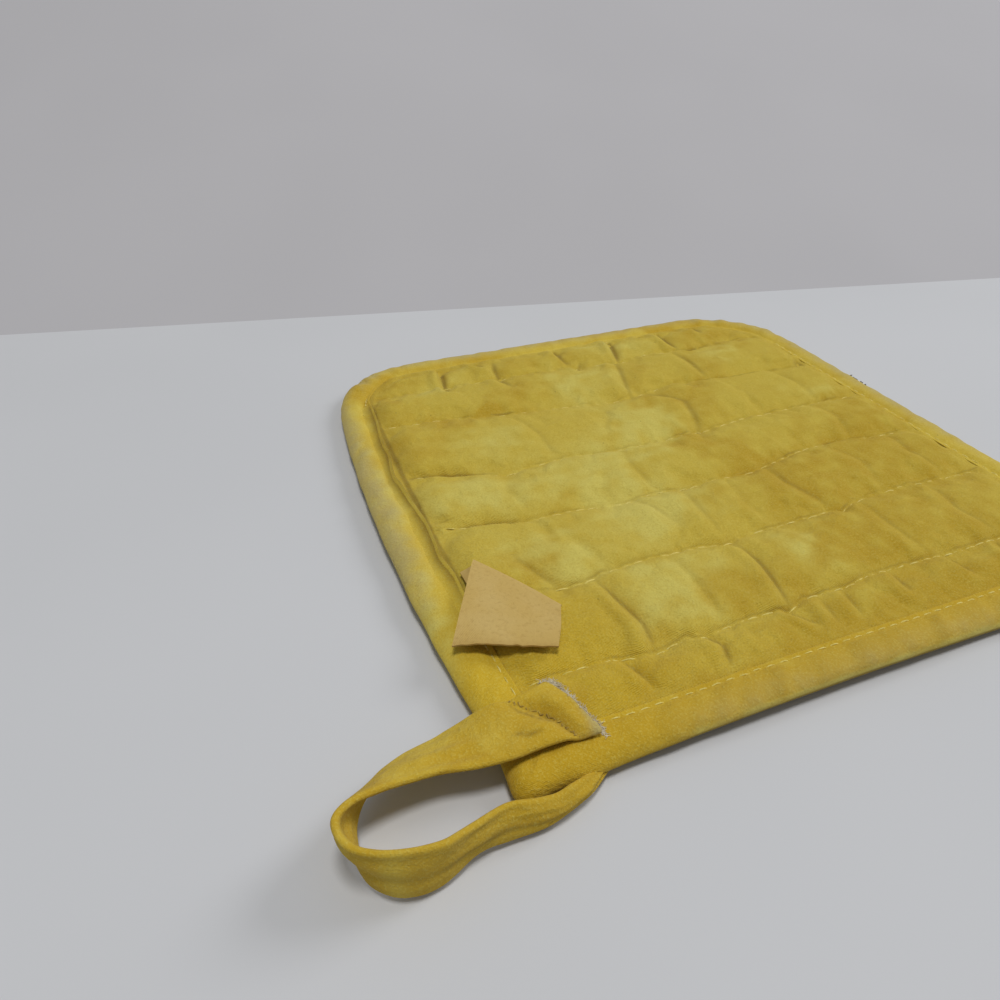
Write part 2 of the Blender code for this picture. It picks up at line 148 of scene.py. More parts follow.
@dataclass(frozen=True)
class Unevenness:
    """Smooth unevenness over the plan: seeded waves, mostly within -1 and 1."""

    seed: int
    pitch: float
    waves: int = 28

    def __call__(self, x: np.ndarray, y: np.ndarray) -> np.ndarray:
        """Return the unevenness at plan points, or at any two numbers that vary on a surface."""
        source = np.random.default_rng(self.seed)
        total = np.zeros(np.shape(x))
        for _ in range(self.waves):
            turn, phase = source.uniform(0, TAU, 2)
            pitch = self.pitch * source.uniform(0.7, 1.6)
            total = total + np.sin(TAU * (x * math.cos(turn) + y * math.sin(turn)) / pitch + phase)
        return total / math.sqrt(2 * self.waves)


@dataclass(frozen=True)
class Plan:
    """The bound edge's outline, and how the used cloth has settled on the table."""

    left: float = 0.0
    right: float = 172.6
    near: float = -0.8
    far: float = 174.2
    radii: Point = (30.0, 33.0, 29.0, 3.4)
    tightest: float = 1.2
    bow: float = 3.9
    bow_span: Point = (15.0, 148.0)
    bow_reach: float = 22.0
    bow_power: float = 0.75
    near_curl: float = 1.0
    near_curl_span: Point = (12.0, 116.0)
    left_curl: float = 0.5
    left_curl_span: Point = (24.0, 140.0)
    curl_reach: float = 16.0
    corner_push: float = 1.2
    corner_push_reach: float = 6.0

    @property
    def centre(self) -> tuple[float, float]:
        """The middle of the outline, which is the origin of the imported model."""
        return (self.left + self.right) / 2, (self.near + self.far) / 2

    def to_metres(self, points: np.ndarray) -> np.ndarray:
        """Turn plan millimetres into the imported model's metres."""
        return (np.asarray(points, float) - (*self.centre, 0.0)) * MM

    def metres_at(self, x: float, y: float) -> np.ndarray:
        """Turn one plan point on the table into metres."""
        return self.to_metres(np.array([[x, y, 0.0]]))[0]

    def settle(self, points: np.ndarray) -> np.ndarray:
        """Bow the left side out, push the loop's corner out and curl the edges up.

        Args:
            points: Rows of x, y and z, as the pot holder was sewn.

        Returns:
            The same rows as the used cloth lies, still in plan millimetres.
        """
        x, y, z = np.asarray(points, float).T
        bow = self.bow * hump(y, *self.bow_span) ** self.bow_power
        bow = bow * np.clip(1.0 - x / self.bow_reach, 0.0, None)
        push = self.corner_push * bell(np.hypot(x, y), self.corner_push_reach)
        near_edge = np.clip(1.0 - (y - self.near) / self.curl_reach, 0.0, None)
        left_edge = np.clip(1.0 - (x - self.left) / self.curl_reach, 0.0, None)
        rise = self.near_curl * hump(x, *self.near_curl_span) * near_edge
        rise = rise + self.left_curl * hump(y, *self.left_curl_span) * left_edge
        return np.stack([x - bow - push / 2, y - push, z + rise], axis=1)

    def inset_of(self, x: np.ndarray, y: np.ndarray) -> np.ndarray:
        """Find how far plan points lie inside the outline.

        Args:
            x: Plan x of the points.
            y: Plan y of the points.

        Returns:
            The distance inwards, less than nothing outside.
        """
        inset = np.minimum.reduce([x - self.left, self.right - x, y - self.near, self.far - y])
        corners = (
            (self.right, self.near),
            (self.right, self.far),
            (self.left, self.far),
            (self.left, self.near),
        )
        for (corner_x, corner_y), radius in zip(corners, self.radii):
            from_x, from_y = np.abs(x - corner_x), np.abs(y - corner_y)
            turned = radius - np.hypot(radius - from_x, radius - from_y)
            at_corner = (from_x < radius) & (from_y < radius)
            inset = np.where(at_corner, np.minimum(inset, turned), inset)
        return inset

    def edge_point(self, segment: int, share: float, inset: float) -> tuple[float, float]:
        """Find a point on the outline, moved inwards.

        Args:
            segment: 0 to 7, anticlockwise from the near side; the odd ones are corners.
            share: The place along the segment, from 0 to 1.
            inset: How far the point moves inwards.

        Returns:
            The point's plan x and y.
        """
        left, right = self.left + inset, self.right - inset
        near, far = self.near + inset, self.far - inset
        radii = [max(radius - inset, self.tightest) for radius in self.radii]
        centres = (
            (right - radii[0], near + radii[0]),
            (right - radii[1], far - radii[1]),
            (left + radii[2], far - radii[2]),
            (left + radii[3], near + radii[3]),
        )

        def on_corner(corner: int, angle: float) -> tuple[float, float]:
            """Return the point of a corner's arc at an angle."""
            centre, radius = centres[corner], radii[corner]
            return centre[0] + radius * math.cos(angle), centre[1] + radius * math.sin(angle)

        corner, quarter = segment // 2, math.pi / 2
        if segment % 2:
            return on_corner(corner, (corner - 1 + share) * quarter)
        before = (corner - 1) % 4
        start, end = on_corner(before, before * quarter), on_corner(corner, (corner - 1) * quarter)
        return start[0] + (end[0] - start[0]) * share, start[1] + (end[1] - start[1]) * share

    def stations(self, spacing: float) -> list[tuple[int, float]]:
        """Return places round the outline, as segments and shares, about evenly spaced."""
        found = []
        for segment in range(8):
            ends = [self.edge_point(segment, share, 0.0) for share in (0.0, 1.0)]
            length = math.dist(*ends) * (math.pi / 2 / math.sqrt(2) if segment % 2 else 1.0)
            count = max(6, round(length / spacing))
            found += [(segment, index / count) for index in range(count)]
        return found


PLAN = Plan()


# ---------------------------------------------------------------- meshes


@dataclass
class Surface:
    """A mesh under construction: its points in plan millimetres and its faces."""

    points: np.ndarray
    faces: list[tuple[int, ...]]
    weave: np.ndarray | None = None
    face_weave: list[list[tuple[float, float]]] | None = None
    marks: dict[str, np.ndarray] = field(default_factory=dict)

    def build(self, name: str) -> bpy.types.Object:
        """Make the finished object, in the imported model's metres, with its weave's UV map.

        Args:
            name: The piece's name.

        Returns:
            The smooth-shaded object, at the origin and unturned.
        """
        data = bpy.data.meshes.new(name)
        data.from_pydata(PLAN.to_metres(self.points).tolist(), [], self.faces)
        if self.face_weave is not None:
            lay_weave(data, np.array([place for face in self.face_weave for place in face]))
        elif self.weave is not None:
            lay_weave(data, at_corners(data, self.weave))
        data.shade_smooth()
        piece = placed(name, data)
        for mark, strength in self.marks.items():
            store(piece, mark, strength)
        return piece


def placed(name: str, data: bpy.types.ID | None) -> bpy.types.Object:
    """Make an object of a mesh, curve, lamp or camera and put it in the scene."""
    made = bpy.data.objects.new(name, data)
    bpy.context.scene.collection.objects.link(made)
    return made


def at_corners(data: bpy.types.Mesh, values: np.ndarray) -> np.ndarray:
    """Return the values of a mesh's points for each corner of its faces."""
    order = np.zeros(len(data.loops), int)
    data.loops.foreach_get("vertex_index", order)
    return values[order]


def lay_weave(data: bpy.types.Mesh, places: np.ndarray) -> None:
    """Store the weave's place along and across the cloth for each corner of a mesh's faces."""
    data.uv_layers.new(name="weave").data.foreach_set("uv", places.ravel())


def store(piece: bpy.types.Object, name: str, strength: np.ndarray) -> None:
    """Store a number from 0 to 1 on each of a piece's points, for its material."""
    layer = piece.data.attributes.new(name, "FLOAT", "POINT")
    layer.data.foreach_set("value", np.clip(strength, 0.0, 1.0).ravel().astype(np.float32))


def select_only(piece: bpy.types.Object) -> None:
    """Select one object, make it active and leave the rest deselected."""
    bpy.ops.object.select_all(action="DESELECT")
    piece.select_set(True)
    bpy.context.view_layer.objects.active = piece


def subdivide(piece: bpy.types.Object) -> None:
    """Refine a piece once with a Subdivision Surface modifier and apply it."""
    select_only(piece)
    modifier = piece.modifiers.new("finer", "SUBSURF")
    modifier.levels = modifier.render_levels = 1
    bpy.ops.object.modifier_apply(modifier=modifier.name)


def plan_points(piece: bpy.types.Object) -> np.ndarray:
    """Return a piece's points in plan millimetres."""
    points = np.zeros(len(piece.data.vertices) * 3)
    piece.data.vertices.foreach_get("co", points)
    return points.reshape(-1, 3) / MM + (*PLAN.centre, 0.0)


def move_points(piece: bpy.types.Object, points: np.ndarray) -> None:
    """Give a piece new points, in plan millimetres."""
    piece.data.vertices.foreach_set("co", PLAN.to_metres(points).ravel())
    piece.data.update()


def swept(sections: np.ndarray, closed: bool, cells: np.ndarray, runs: np.ndarray) -> Surface:
    """Sweep a closed section along stations.

    Args:
        sections: For each station, the section's points.
        closed: Whether the last station joins the first; otherwise both ends are capped.
        cells: The weave's place across the tape for each point of the section, and for its return.
        runs: The weave's place along the tape for each station, and for the return.

    Returns:
        The swept surface with its weave.
    """
    count, size = sections.shape[:2]
    faces, weave = [], []
    last = count if closed else count - 1
    for ring in range(last):
        after = (ring + 1) % count
        for index in range(size):
            beside = (index + 1) % size
            here, there = ring * size, after * size
            faces.append((here + index, there + index, there + beside, here + beside))
            low, high = cells[index], cells[index + 1]
            start, end = runs[ring], runs[ring + 1]
            weave.append([(start, low), (end, low), (end, high), (start, high)])
    if not closed:
        faces.append(tuple(range(size)))
        weave.append([(runs[0], cells[index]) for index in range(size)])
        faces.append(tuple((count - 1) * size + index for index in range(size))[::-1])
        weave.append([(runs[count - 1], cells[index]) for index in range(size)][::-1])
    return Surface(sections.reshape(-1, 3), faces, face_weave=weave)


def in_order(
    points: np.ndarray, faces: list[tuple[int, ...]]
) -> tuple[np.ndarray, list[tuple[int, ...]]]:
    """Number a mesh's points and faces by their places, so that each run stores them alike.

    Args:
        points: The mesh's points.
        faces: Its faces.

    Returns:
        The same points and faces in a settled order.
    """
    order = np.lexsort(points.round(6).T)
    number = {int(old): new for new, old in enumerate(order)}
    settled = []
    for face in faces:
        corners = [number[corner] for corner in face]
        first = corners.index(min(corners))
        settled.append(tuple(corners[first:] + corners[:first]))
    return points[order], sorted(settled)


def face_outwards(piece: bpy.types.Object) -> None:
    """Turn a closed shell's faces to point outwards."""
    shell = bmesh.new()
    shell.from_mesh(piece.data)
    bmesh.ops.recalc_face_normals(shell, faces=shell.faces)
    shell.to_mesh(piece.data)
    shell.free()
    piece.data.shade_smooth()


# ---------------------------------------------------------------- wear


@dataclass(frozen=True)
class Blotch:
    """A soft-edged patch of a tone: its middle, its half sizes and how strong it is."""

    x: float
    y: float
    half_x: float
    half_y: float
    amount: float

    def at(self, x: np.ndarray, y: np.ndarray) -> np.ndarray:
        """Return the patch's strength at plan points."""
        reach = np.hypot((x - self.x) / self.half_x, (y - self.y) / self.half_y)
        return self.amount * np.exp(-0.9 * reach**2)


@dataclass(frozen=True)
class Wear:
    """Where the yellow cotton has faded, browned, kept its colour and greyed, and where light is
    painted.
    """

    ochre: tuple[Blotch, ...] = tuple(Blotch(*row) for row in (
        (16, 114, 14, 16, 0.65), (14, 143, 12, 14, 0.60), (31, 123, 9, 7, 0.60),
        (42, 127, 5, 4, 0.90), (57, 134, 12, 14, 0.45), (93, 114, 7, 7, 0.70),
        (93, 84, 6, 11, 0.85), (103, 74, 6, 12, 0.85), (105, 60, 7, 8, 0.80),
        (105, 108, 8, 14, 0.60), (114, 116, 7, 8, 0.50), (101, 34, 16, 14, 0.75),
        (92, 58, 14, 11, 0.45), (76, 26, 12, 8, 0.70), (44, 27, 6, 9, 0.35), (62, 30, 8, 8, 0.45),
        (33, 33, 7, 10, 0.55), (22, 53, 8, 8, 0.70), (46, 76, 10, 6, 0.40),
        (158, 150, 18, 28, 0.35), (138, 150, 14, 14, 0.55), (150, 84, 26, 18, 0.60),
        (167, 110, 9, 40, 0.15), (128, 66, 22, 14, 0.60), (135, 36, 30, 30, 0.75),
        (62, 150, 9, 14, 0.50), (85, 157, 9, 8, 0.50), (103, 136, 8, 10, 0.60),
        (123, 130, 8, 12, 0.55), (24, 162, 18, 8, 0.65), (52, 167, 9, 5, 0.70),
        (117, 169, 16, 4, 0.65), (150, 168, 18, 6, 0.70), (9, 160, 8, 14, 0.60),
        (80, 13, 26, 6, 0.65), (120, 10, 30, 8, 0.60), (34, 15, 7, 5, 0.45), (8, 3, 10, 8, 0.45),
        (12, 12, 9, 6, 0.60), (-28, 0, 6, 10, 0.90), (-8, -6, 26, 4, 1.10), (8, -2, 12, 4, 0.90),
        (60, 3, 50, 5, 1.45), (150, 5, 40, 6, 0.70), (17, 9, 5, 8, 0.35), (7, 2, 9, 5, 0.75),
        (42, 3, 26, 5, 0.60), (110, 171, 50, 4, 0.70), (-10, 12, 20, 7, 0.55),
        (-14, -6, 12, 4, 0.60), (5, -4, 10, 3, 0.80), (4, 3, 5, 4, 0.90), (-10, 5.2, 18, 1.3, 1.10),
        (26, 2, 16, 4, 0.70),
    ))
    pale: tuple[Blotch, ...] = tuple(Blotch(*row) for row in (
        (48, 33, 7, 10, 0.90), (54, 25, 5, 4, 0.60), (31, 147, 6, 5, 0.80), (61, 63, 13, 11, 1.35),
        (33, 54, 10, 10, 1.20), (61, 37, 7, 8, 0.70), (17, 86, 12, 9, 0.65), (30, 82, 12, 9, 0.60),
        (136, 137, 9, 8, 0.70), (85, 103, 12, 14, 0.70), (38, 107, 11, 11, 0.65),
        (76, 132, 9, 14, 0.70), (90, 138, 7, 9, 0.60), (150, 101, 12, 8, 0.50),
        (58, 84, 14, 11, 0.70), (72, 92, 16, 12, 0.45), (98, 158, 9, 9, 0.55),
        (112, 155, 9, 6, 0.50), (45, 157, 7, 8, 0.40), (89, 38, 7, 9, 0.55), (80, 63, 7, 9, 0.45),
        # Painted light: the patches at x of -1 and 0 lighten the left tape, which faces away from
        # the window light.
        (-6, 12, 8, 7, 0.35), (-1, 46, 5, 22, 0.55), (-1, 92, 5, 34, 0.60), (0, 135, 6, 20, 0.40),
    ))
    fresh: tuple[Blotch, ...] = tuple(Blotch(*row) for row in (
        (23, 30, 15, 18, 0.75), (4, 22, 9, 18, 0.90), (20, 12, 14, 9, 0.60), (2, 72, 5, 26, 0.60),
        (6, 2, 13, 9, 0.95), (3, 128, 4, 18, 0.40), (-8, 10, 16, 9, 0.50), (160, 118, 8, 26, 0.15),
        (50, 14, 34, 6, 0.45), (-26, 2, 7, 9, 0.50),
    ))
    grey_edge: float = 0.85
    grey_start: float = 1.15
    grey_reach: float = 8.5
    # The left tape keeps its colour further in: up to which x, and by how much.
    left_clean: Point = (9.0, 3.0)
    # Where the greying of the far and of the near side starts, and over how far it grows.
    far_greying: Point = (34.0, 34.0)
    near_greying: Point = (24.0, 20.0)
    near_share: float = 0.50
    patchiness: Point = (0.98, 0.16, 0.5, 1.2)
    # The near edge's outer fold is rubbed pale: inset, width, up to which y, and over which x.
    rubbed_line: Point = (0.9, 0.45)
    rubbed_below: float = 6.0
    rubbed_span: Point = (18.0, 150.0)
    rubbed_pale: float = 0.8
    rubbed_ochre: float = 0.7
    rubbed_grey: float = 0.4
    bleached: float = 1.3
    bleached_width: Point = (0.9, 1.8)
    straying: float = 3.2
    broken: Point = (0.85, 0.28)
    unbroken: float = 1.7
    clouding: float = 0.12
    edge_patches: Unevenness = Unevenness(seed=11, pitch=13.0)
    cloudiness: Unevenness = Unevenness(seed=12, pitch=24.0)
    stray_x: Unevenness = Unevenness(seed=13, pitch=12.0)
    stray_y: Unevenness = Unevenness(seed=14, pitch=12.0)
    breakup: Unevenness = Unevenness(seed=15, pitch=7.0)

    def greying(self, x: np.ndarray, y: np.ndarray) -> tuple[np.ndarray, np.ndarray, np.ndarray]:
        """Find how greyed the outer edges are.

        Args:
            x: Plan x of the points.
            y: Plan y of the points.

        Returns:
            How near the outer edge each point lies, how much its side is soiled, and how patchily.
        """
        up_to, clean = self.left_clean
        inset = PLAN.inset_of(x, y) + clean * (x < up_to)
        outer = eased(self.grey_start - inset / self.grey_reach)
        start, growth = self.far_greying
        far_side = np.clip((y - start) / growth, 0.0, 1.0)
        start, growth = self.near_greying
        near_side = self.near_share * np.clip((x - start) / growth, 0.0, 1.0)
        mean, swing, least, most = self.patchiness
        patches = np.clip(mean + swing * self.edge_patches(x, y), least, most)
        return outer, np.maximum(far_side, near_side), patches

    def rubbed(self, x: np.ndarray, y: np.ndarray) -> np.ndarray:
        """Return how pale the near edge's outer fold is rubbed at plan points."""
        place, width = self.rubbed_line
        line = bell(PLAN.inset_of(x, y) - place, width)
        return line * (y < self.rubbed_below) * hump(x, *self.rubbed_span) ** 0.4

    def dress(
        self, piece: bpy.types.Object, greyed: float = 1.0, soil: float = 0.0, cut: Line = ()
    ) -> None:
        """Store each tone's strength on a piece's points.

        Args:
            piece: The piece of yellow cotton.
            greyed: How much the soiling of the outer edges shows on it.
            soil: How soiled it is all over.
            cut: The line of a cut end, which has bleached.
        """
        x, y, _ = plan_points(piece).T
        beside = x + self.straying * self.stray_x(x, y), y + self.straying * self.stray_y(x, y)
        broken = self.broken[0] + self.broken[1] * self.breakup(x, y)
        tones = {
            "ochre": broken * sum(patch.at(*beside) for patch in self.ochre),
            "pale": (self.unbroken - broken) * sum(patch.at(*beside) for patch in self.pale),
            "fresh": sum(patch.at(x, y) for patch in self.fresh),
        }
        tones["ochre"] = tones["ochre"] + self.clouding * self.cloudiness(x, y)
        outer, sides, patches = self.greying(x, y)
        tones["grey"] = greyed * self.grey_edge * outer * sides * patches + soil * patches
        if greyed == 1.0:
            rubbed = self.rubbed(x, y)
            tones["pale"] = tones["pale"] + self.rubbed_pale * rubbed
            tones["ochre"] = tones["ochre"] * (1.0 - self.rubbed_ochre * rubbed)
            tones["grey"] = tones["grey"] * (1.0 - self.rubbed_grey * rubbed)
        if cut:
            distance, place, _ = along_line(x, y, cut)
            width, growth = self.bleached_width
            bleached = self.bleached * bell(distance, width + growth * place**3)
            tones["grey"] = tones["grey"] + bleached
        for name, strength in tones.items():
            store(piece, name, strength)


# ---------------------------------------------------------------- shader nodes


class Signal:
    """A number that changes over a surface: a node's output, with Python's operators on it."""

    def __init__(self, sheet: "NodeSheet", output: bpy.types.NodeSocket) -> None:
        """Wrap an output of a node on a sheet."""
        self.sheet = sheet
        self.output = output

    def joined(self, operation: str, *others: "Signal | float", first: bool = True) -> "Signal":
        """Add a Math node on this signal and others.

        Args:
            operation: The Math node's operation.
            others: The other signals or plain numbers.
            first: Whether this signal is the first input, or follows the others.

        Returns:
            The Math node's output.
        """
        values = (self, *others) if first else (*others, self)
        node = self.sheet.node("ShaderNodeMath", {"operation": operation}, dict(enumerate(values)))
        return Signal(self.sheet, node.outputs[0])

    def __add__(self, other: "Signal | float") -> "Signal":
        """Add."""
        return self.joined("ADD", other)

    def __radd__(self, other: float) -> "Signal":
        """Add to a number."""
        return self.joined("ADD", other)

    def __sub__(self, other: "Signal | float") -> "Signal":
        """Subtract."""
        return self.joined("SUBTRACT", other)

    def __rsub__(self, other: float) -> "Signal":
        """Subtract from a number."""
        return self.joined("SUBTRACT", other, first=False)

    def __mul__(self, other: "Signal | float") -> "Signal":
        """Multiply."""
        return self.joined("MULTIPLY", other)

    def __rmul__(self, other: float) -> "Signal":
        """Multiply a number."""
        return self.joined("MULTIPLY", other)

    def sine(self) -> "Signal":
        """Return the sine."""
        return self.joined("SINE")

    def held(self) -> "Signal":
        """Hold the signal between 0 and 1."""
        return self.joined("MINIMUM", 1.0).joined("MAXIMUM", 0.0)

    def over(self, low: float, high: float) -> "Signal":
        """Rise smoothly from 0 at a low value to 1 at a high one."""
        settings = {"interpolation_type": "SMOOTHSTEP"}
        values = {"Value": self, "From Min": low, "From Max": high}
        made = self.sheet.node("ShaderNodeMapRange", settings, values)
        return Signal(self.sheet, made.outputs[0])


class NodeSheet:
    """A material's nodes, laid out in code."""

    def __init__(self, name: str) -> None:
        """Start a material with its shader and nothing else."""
        self.material = bpy.data.materials.new(name)
        self.material.use_nodes = True
        self.tree = self.material.node_tree
        self.shader = self.tree.nodes["Principled BSDF"]

    def node(self, kind: str, settings: dict, values: dict) -> bpy.types.Node:
        """Add a node.

        Args:
            kind: The node's type.
            settings: Its settings, such as an operation, set before its sockets.
            values: Values or links for its input sockets, by name or place.

        Returns:
            The new node.
        """
        made = self.tree.nodes.new(kind)
        for name, value in settings.items():
            setattr(made, name, value)
        self.fill(made, values)
        return made

    def fill(self, node: bpy.types.Node, values: dict) -> None:
        """Give input sockets of a node their values or links."""
        for socket, value in values.items():
            value = value.output if isinstance(value, Signal) else value
            if isinstance(value, bpy.types.NodeSocket):
                self.tree.links.new(value, node.inputs[socket])
            else:
                node.inputs[socket].default_value = value

    def place(self) -> bpy.types.NodeSocket:
        """Return the Object coordinates, in metres."""
        return self.node("ShaderNodeTexCoord", {}, {}).outputs["Object"]

    def stored(self, name: str) -> Signal:
        """Return a tone that is stored on the piece's points."""
        made = self.node("ShaderNodeAttribute", {"attribute_name": name}, {})
        return Signal(self, made.outputs["Fac"])

    def weave_places(self) -> tuple[Signal, Signal]:
        """Return the places along and across the cloth, in millimetres."""
        uv = self.node("ShaderNodeUVMap", {"uv_map": "weave"}, {}).outputs[0]
        split = self.node("ShaderNodeSeparateXYZ", {}, {0: uv})
        return Signal(self, split.outputs[0]), Signal(self, split.outputs[1])

    def noise(self, vector: bpy.types.NodeSocket, size: float, detail: float = 2.0) -> Signal:
        """Return smooth noise whose lumps have a size, in metres."""
        values = {"Vector": vector, "Scale": 1.0 / size, "Detail": detail, "Roughness": 0.55}
        return Signal(self, self.node("ShaderNodeTexNoise", {}, values).outputs["Fac"])

    def blend(self, amount: Signal, first: object, second: object) -> bpy.types.NodeSocket:
        """Mix two colours by an amount."""
        made = self.node("ShaderNodeMix", {"data_type": "RGBA"}, {0: amount, 6: first, 7: second})
        return made.outputs[2]

    def bump(self, height: Signal, depth: float, normal: object = None) -> bpy.types.NodeSocket:
        """Turn a height into a normal; depth is in metres for a height of 1."""
        values = {"Strength": 1.0, "Distance": depth, "Height": height}
        if normal is not None:
            values["Normal"] = normal
        return self.node("ShaderNodeBump", {}, values).outputs[0]


@dataclass(frozen=True)
class Lustre:
    """How a cloth or thread takes the light: its gloss and its soft sheen."""

    gloss: float
    sheen: float
    sheen_roughness: float = 0.5

    def finish(
        self, sheet: NodeSheet, colour: bpy.types.NodeSocket, roughness: Signal, normal: object
    ) -> bpy.types.Material:
        """Fill in a sheet's shader.

        Args:
            sheet: The material's nodes.
            colour: The cloth's colour.
            roughness: Its roughness.
            normal: Its bumps.

        Returns:
            The finished material.
        """
        values = {
            "Base Color": colour,
            "Roughness": roughness,
            "Normal": normal,
            "Sheen Weight": self.sheen,
            "Sheen Roughness": self.sheen_roughness,
            "Specular IOR Level": self.gloss,
        }
        sheet.fill(sheet.shader, values)
        return sheet.material


def tone(red: float, green: float, blue: float) -> tuple[float, float, float, float]:
    """Return a colour from its linear parts."""
    return (red, green, blue, 1.0)


@dataclass(frozen=True)
class YellowCotton:
    """Faded plain-weave yellow cotton, mottled by use, with slubs, specks and greyed edges."""

    name: str
    body: tuple = tone(0.650, 0.490, 0.064)
    lemon: tuple = tone(0.730, 0.635, 0.150)
    ochre: tuple = tone(0.520, 0.325, 0.018)
    golden: tuple = tone(0.635, 0.432, 0.030)
    greyed: tuple = tone(0.480, 0.395, 0.165)
    # Dark brown, used for real specks and for the painted shade in folds, seam edges and gaps.
    soil: tuple = tone(0.230, 0.140, 0.020)
    # The sizes of clouds, mottles, grain, the threads' wobble and specks, in metres.
    cloud_size: float = 0.016
    mottle_size: float = 0.0045
    grain_size: float = 0.00042
    wobble_size: float = 0.0022
    speck_size: float = 0.0015
    thread_pitch: float = 0.42
    contrast: float = 0.25
    turned: float = 0.0
    lustre: Lustre = Lustre(gloss=0.06, sheen=0.06, sheen_roughness=0.6)

    def material(self) -> bpy.types.Material:
        """Build the cloth's material.

        Returns:
            The finished material.
        """
        sheet = NodeSheet(self.name)
        where = sheet.place()
        cloud = sheet.noise(where, self.cloud_size, 4.0)
        mottle = sheet.noise(where, self.mottle_size, 3.0)
        grain = sheet.noise(where, self.grain_size)
        along, across = sheet.weave_places()
        cos, sin = math.cos(self.turned), math.sin(self.turned)
        wobble = (sheet.noise(where, self.wobble_size) - 0.5) * 2.2
        warp = (along * cos + across * sin) * (TAU / self.thread_pitch) + wobble
        weft = (across * cos - along * sin) * (TAU / self.thread_pitch) + wobble
        weave = warp.sine() * weft.sine() * 0.4 + (warp + weft).sine() * 0.6

        patchy = (cloud - 0.5) * 1.3 + (mottle - 0.5) * 0.9
        # The pale tone: faded and rubbed cotton, and painted light along the left tape.
        lemon = (sheet.stored("pale") + patchy * 0.6).over(0.05, 0.95)
        brown = (sheet.stored("ochre") - patchy * 0.7 + (grain - 0.5) * 0.2).over(0.05, 1.0)
        kept = (sheet.stored("fresh") + patchy * 0.3).over(0.1, 0.9)
        soiled = (sheet.stored("grey") * (1.0 + (mottle - 0.5) * 1.5)).over(0.0, 1.0)
        # Painted shade: the stored darkening of folds, stitch lines, seam edges and gaps, broken up
        # by the grain.
        folded = (sheet.stored("painted_shade") * (1.0 + (grain - 0.5) * 0.8)).over(0.05, 1.0)
        specks = sheet.noise(where, self.speck_size, 1.0).over(0.785, 0.815) * 0.6

        colour = sheet.blend(kept, self.body, self.golden)
        colour = sheet.blend(lemon * 0.85, colour, self.lemon)
        colour = sheet.blend(brown * 0.8, colour, self.ochre)
        colour = sheet.blend(soiled * 0.85, colour, self.greyed)
        # Painted shade: mix the folds, seam edges and gaps towards the dark brown.
        colour = sheet.blend(folded * 0.80, colour, self.soil)
        colour = sheet.blend(specks, colour, self.soil)
        shaded = (weave * self.contrast + (grain - 0.5) * 1.15 + 0.5).held()
        dark = sheet.blend((0.5 - shaded).held() * 1.3, colour, self.ochre)
        fine = sheet.blend((shaded - 0.5).held() * 1.3, dark, self.lemon)

        normal = sheet.bump(weave * 0.5 + 0.5, 0.0005 * self.contrast)
        normal = sheet.bump(grain, 0.00016, normal)
        normal = sheet.bump(mottle, 0.00070, normal)
        return self.lustre.finish(sheet, fine, 0.86 + grain * 0.12, normal)


@dataclass(frozen=True)
class TanCotton:
    """Unbleached tan cotton of the blank label, finely woven."""

    name: str
    body: tuple = tone(0.625, 0.435, 0.138)
    pale: tuple = tone(0.685, 0.505, 0.195)
    # Brown for the grain and weave, and for the painted shade along the lifted free end.
    brown: tuple = tone(0.430, 0.260, 0.070)
    thread_pitch: float = 0.45
    lustre: Lustre = Lustre(gloss=0.08, sheen=0.05)

    def material(self) -> bpy.types.Material:
        """Build the label's material.

        Returns:
            The finished material.
        """
        sheet = NodeSheet(self.name)
        where = sheet.place()
        cloud = sheet.noise(where, 0.009, 3.0)
        grain = sheet.noise(where, 0.0009)
        along, across = sheet.weave_places()
        wobble = (sheet.noise(where, 0.0025) - 0.5) * 2.0
        warp = (along * (TAU / self.thread_pitch) + wobble).sine()
        weft = (across * (TAU / self.thread_pitch) + wobble).sine()
        weave = warp * weft
        colour = sheet.blend(cloud.over(0.35, 0.7) * 0.6, self.body, self.pale)
        colour = sheet.blend((0.5 - grain).over(0.0, 0.25) * 0.30, colour, self.brown)
        colour = sheet.blend((0.5 - weave * 0.5).held() * 0.16, colour, self.brown)
        # Painted shade along the lifted free end's edge, towards the brown.
        colour = sheet.blend(sheet.stored("painted_shade") * 0.8, colour, self.brown)
        normal = sheet.bump(weave * 0.5 + 0.5, 0.00006)
        normal = sheet.bump(grain, 0.00014, normal)
        return self.lustre.finish(sheet, colour, 0.84 + grain * 0.12, normal)


@dataclass(frozen=True)
class SewingThread:
    """Cotton thread with a fine twist, used for stitches and frayed ends."""

    name: str
    light: tuple
    dark: tuple
    lump: float = 0.0009
    lustre: Lustre = Lustre(gloss=0.20, sheen=0.30)

    def material(self) -> bpy.types.Material:
        """Build the thread's material."""
        sheet = NodeSheet(self.name)
        where = sheet.place()
        lumps = sheet.noise(where, self.lump)
        colour = sheet.blend(lumps.over(0.35, 0.65), self.dark, self.light)
        return self.lustre.finish(sheet, colour, 0.78 + lumps * 0.15, sheet.bump(lumps, 0.0001))


# ---------------------------------------------------------------- sewn pieces


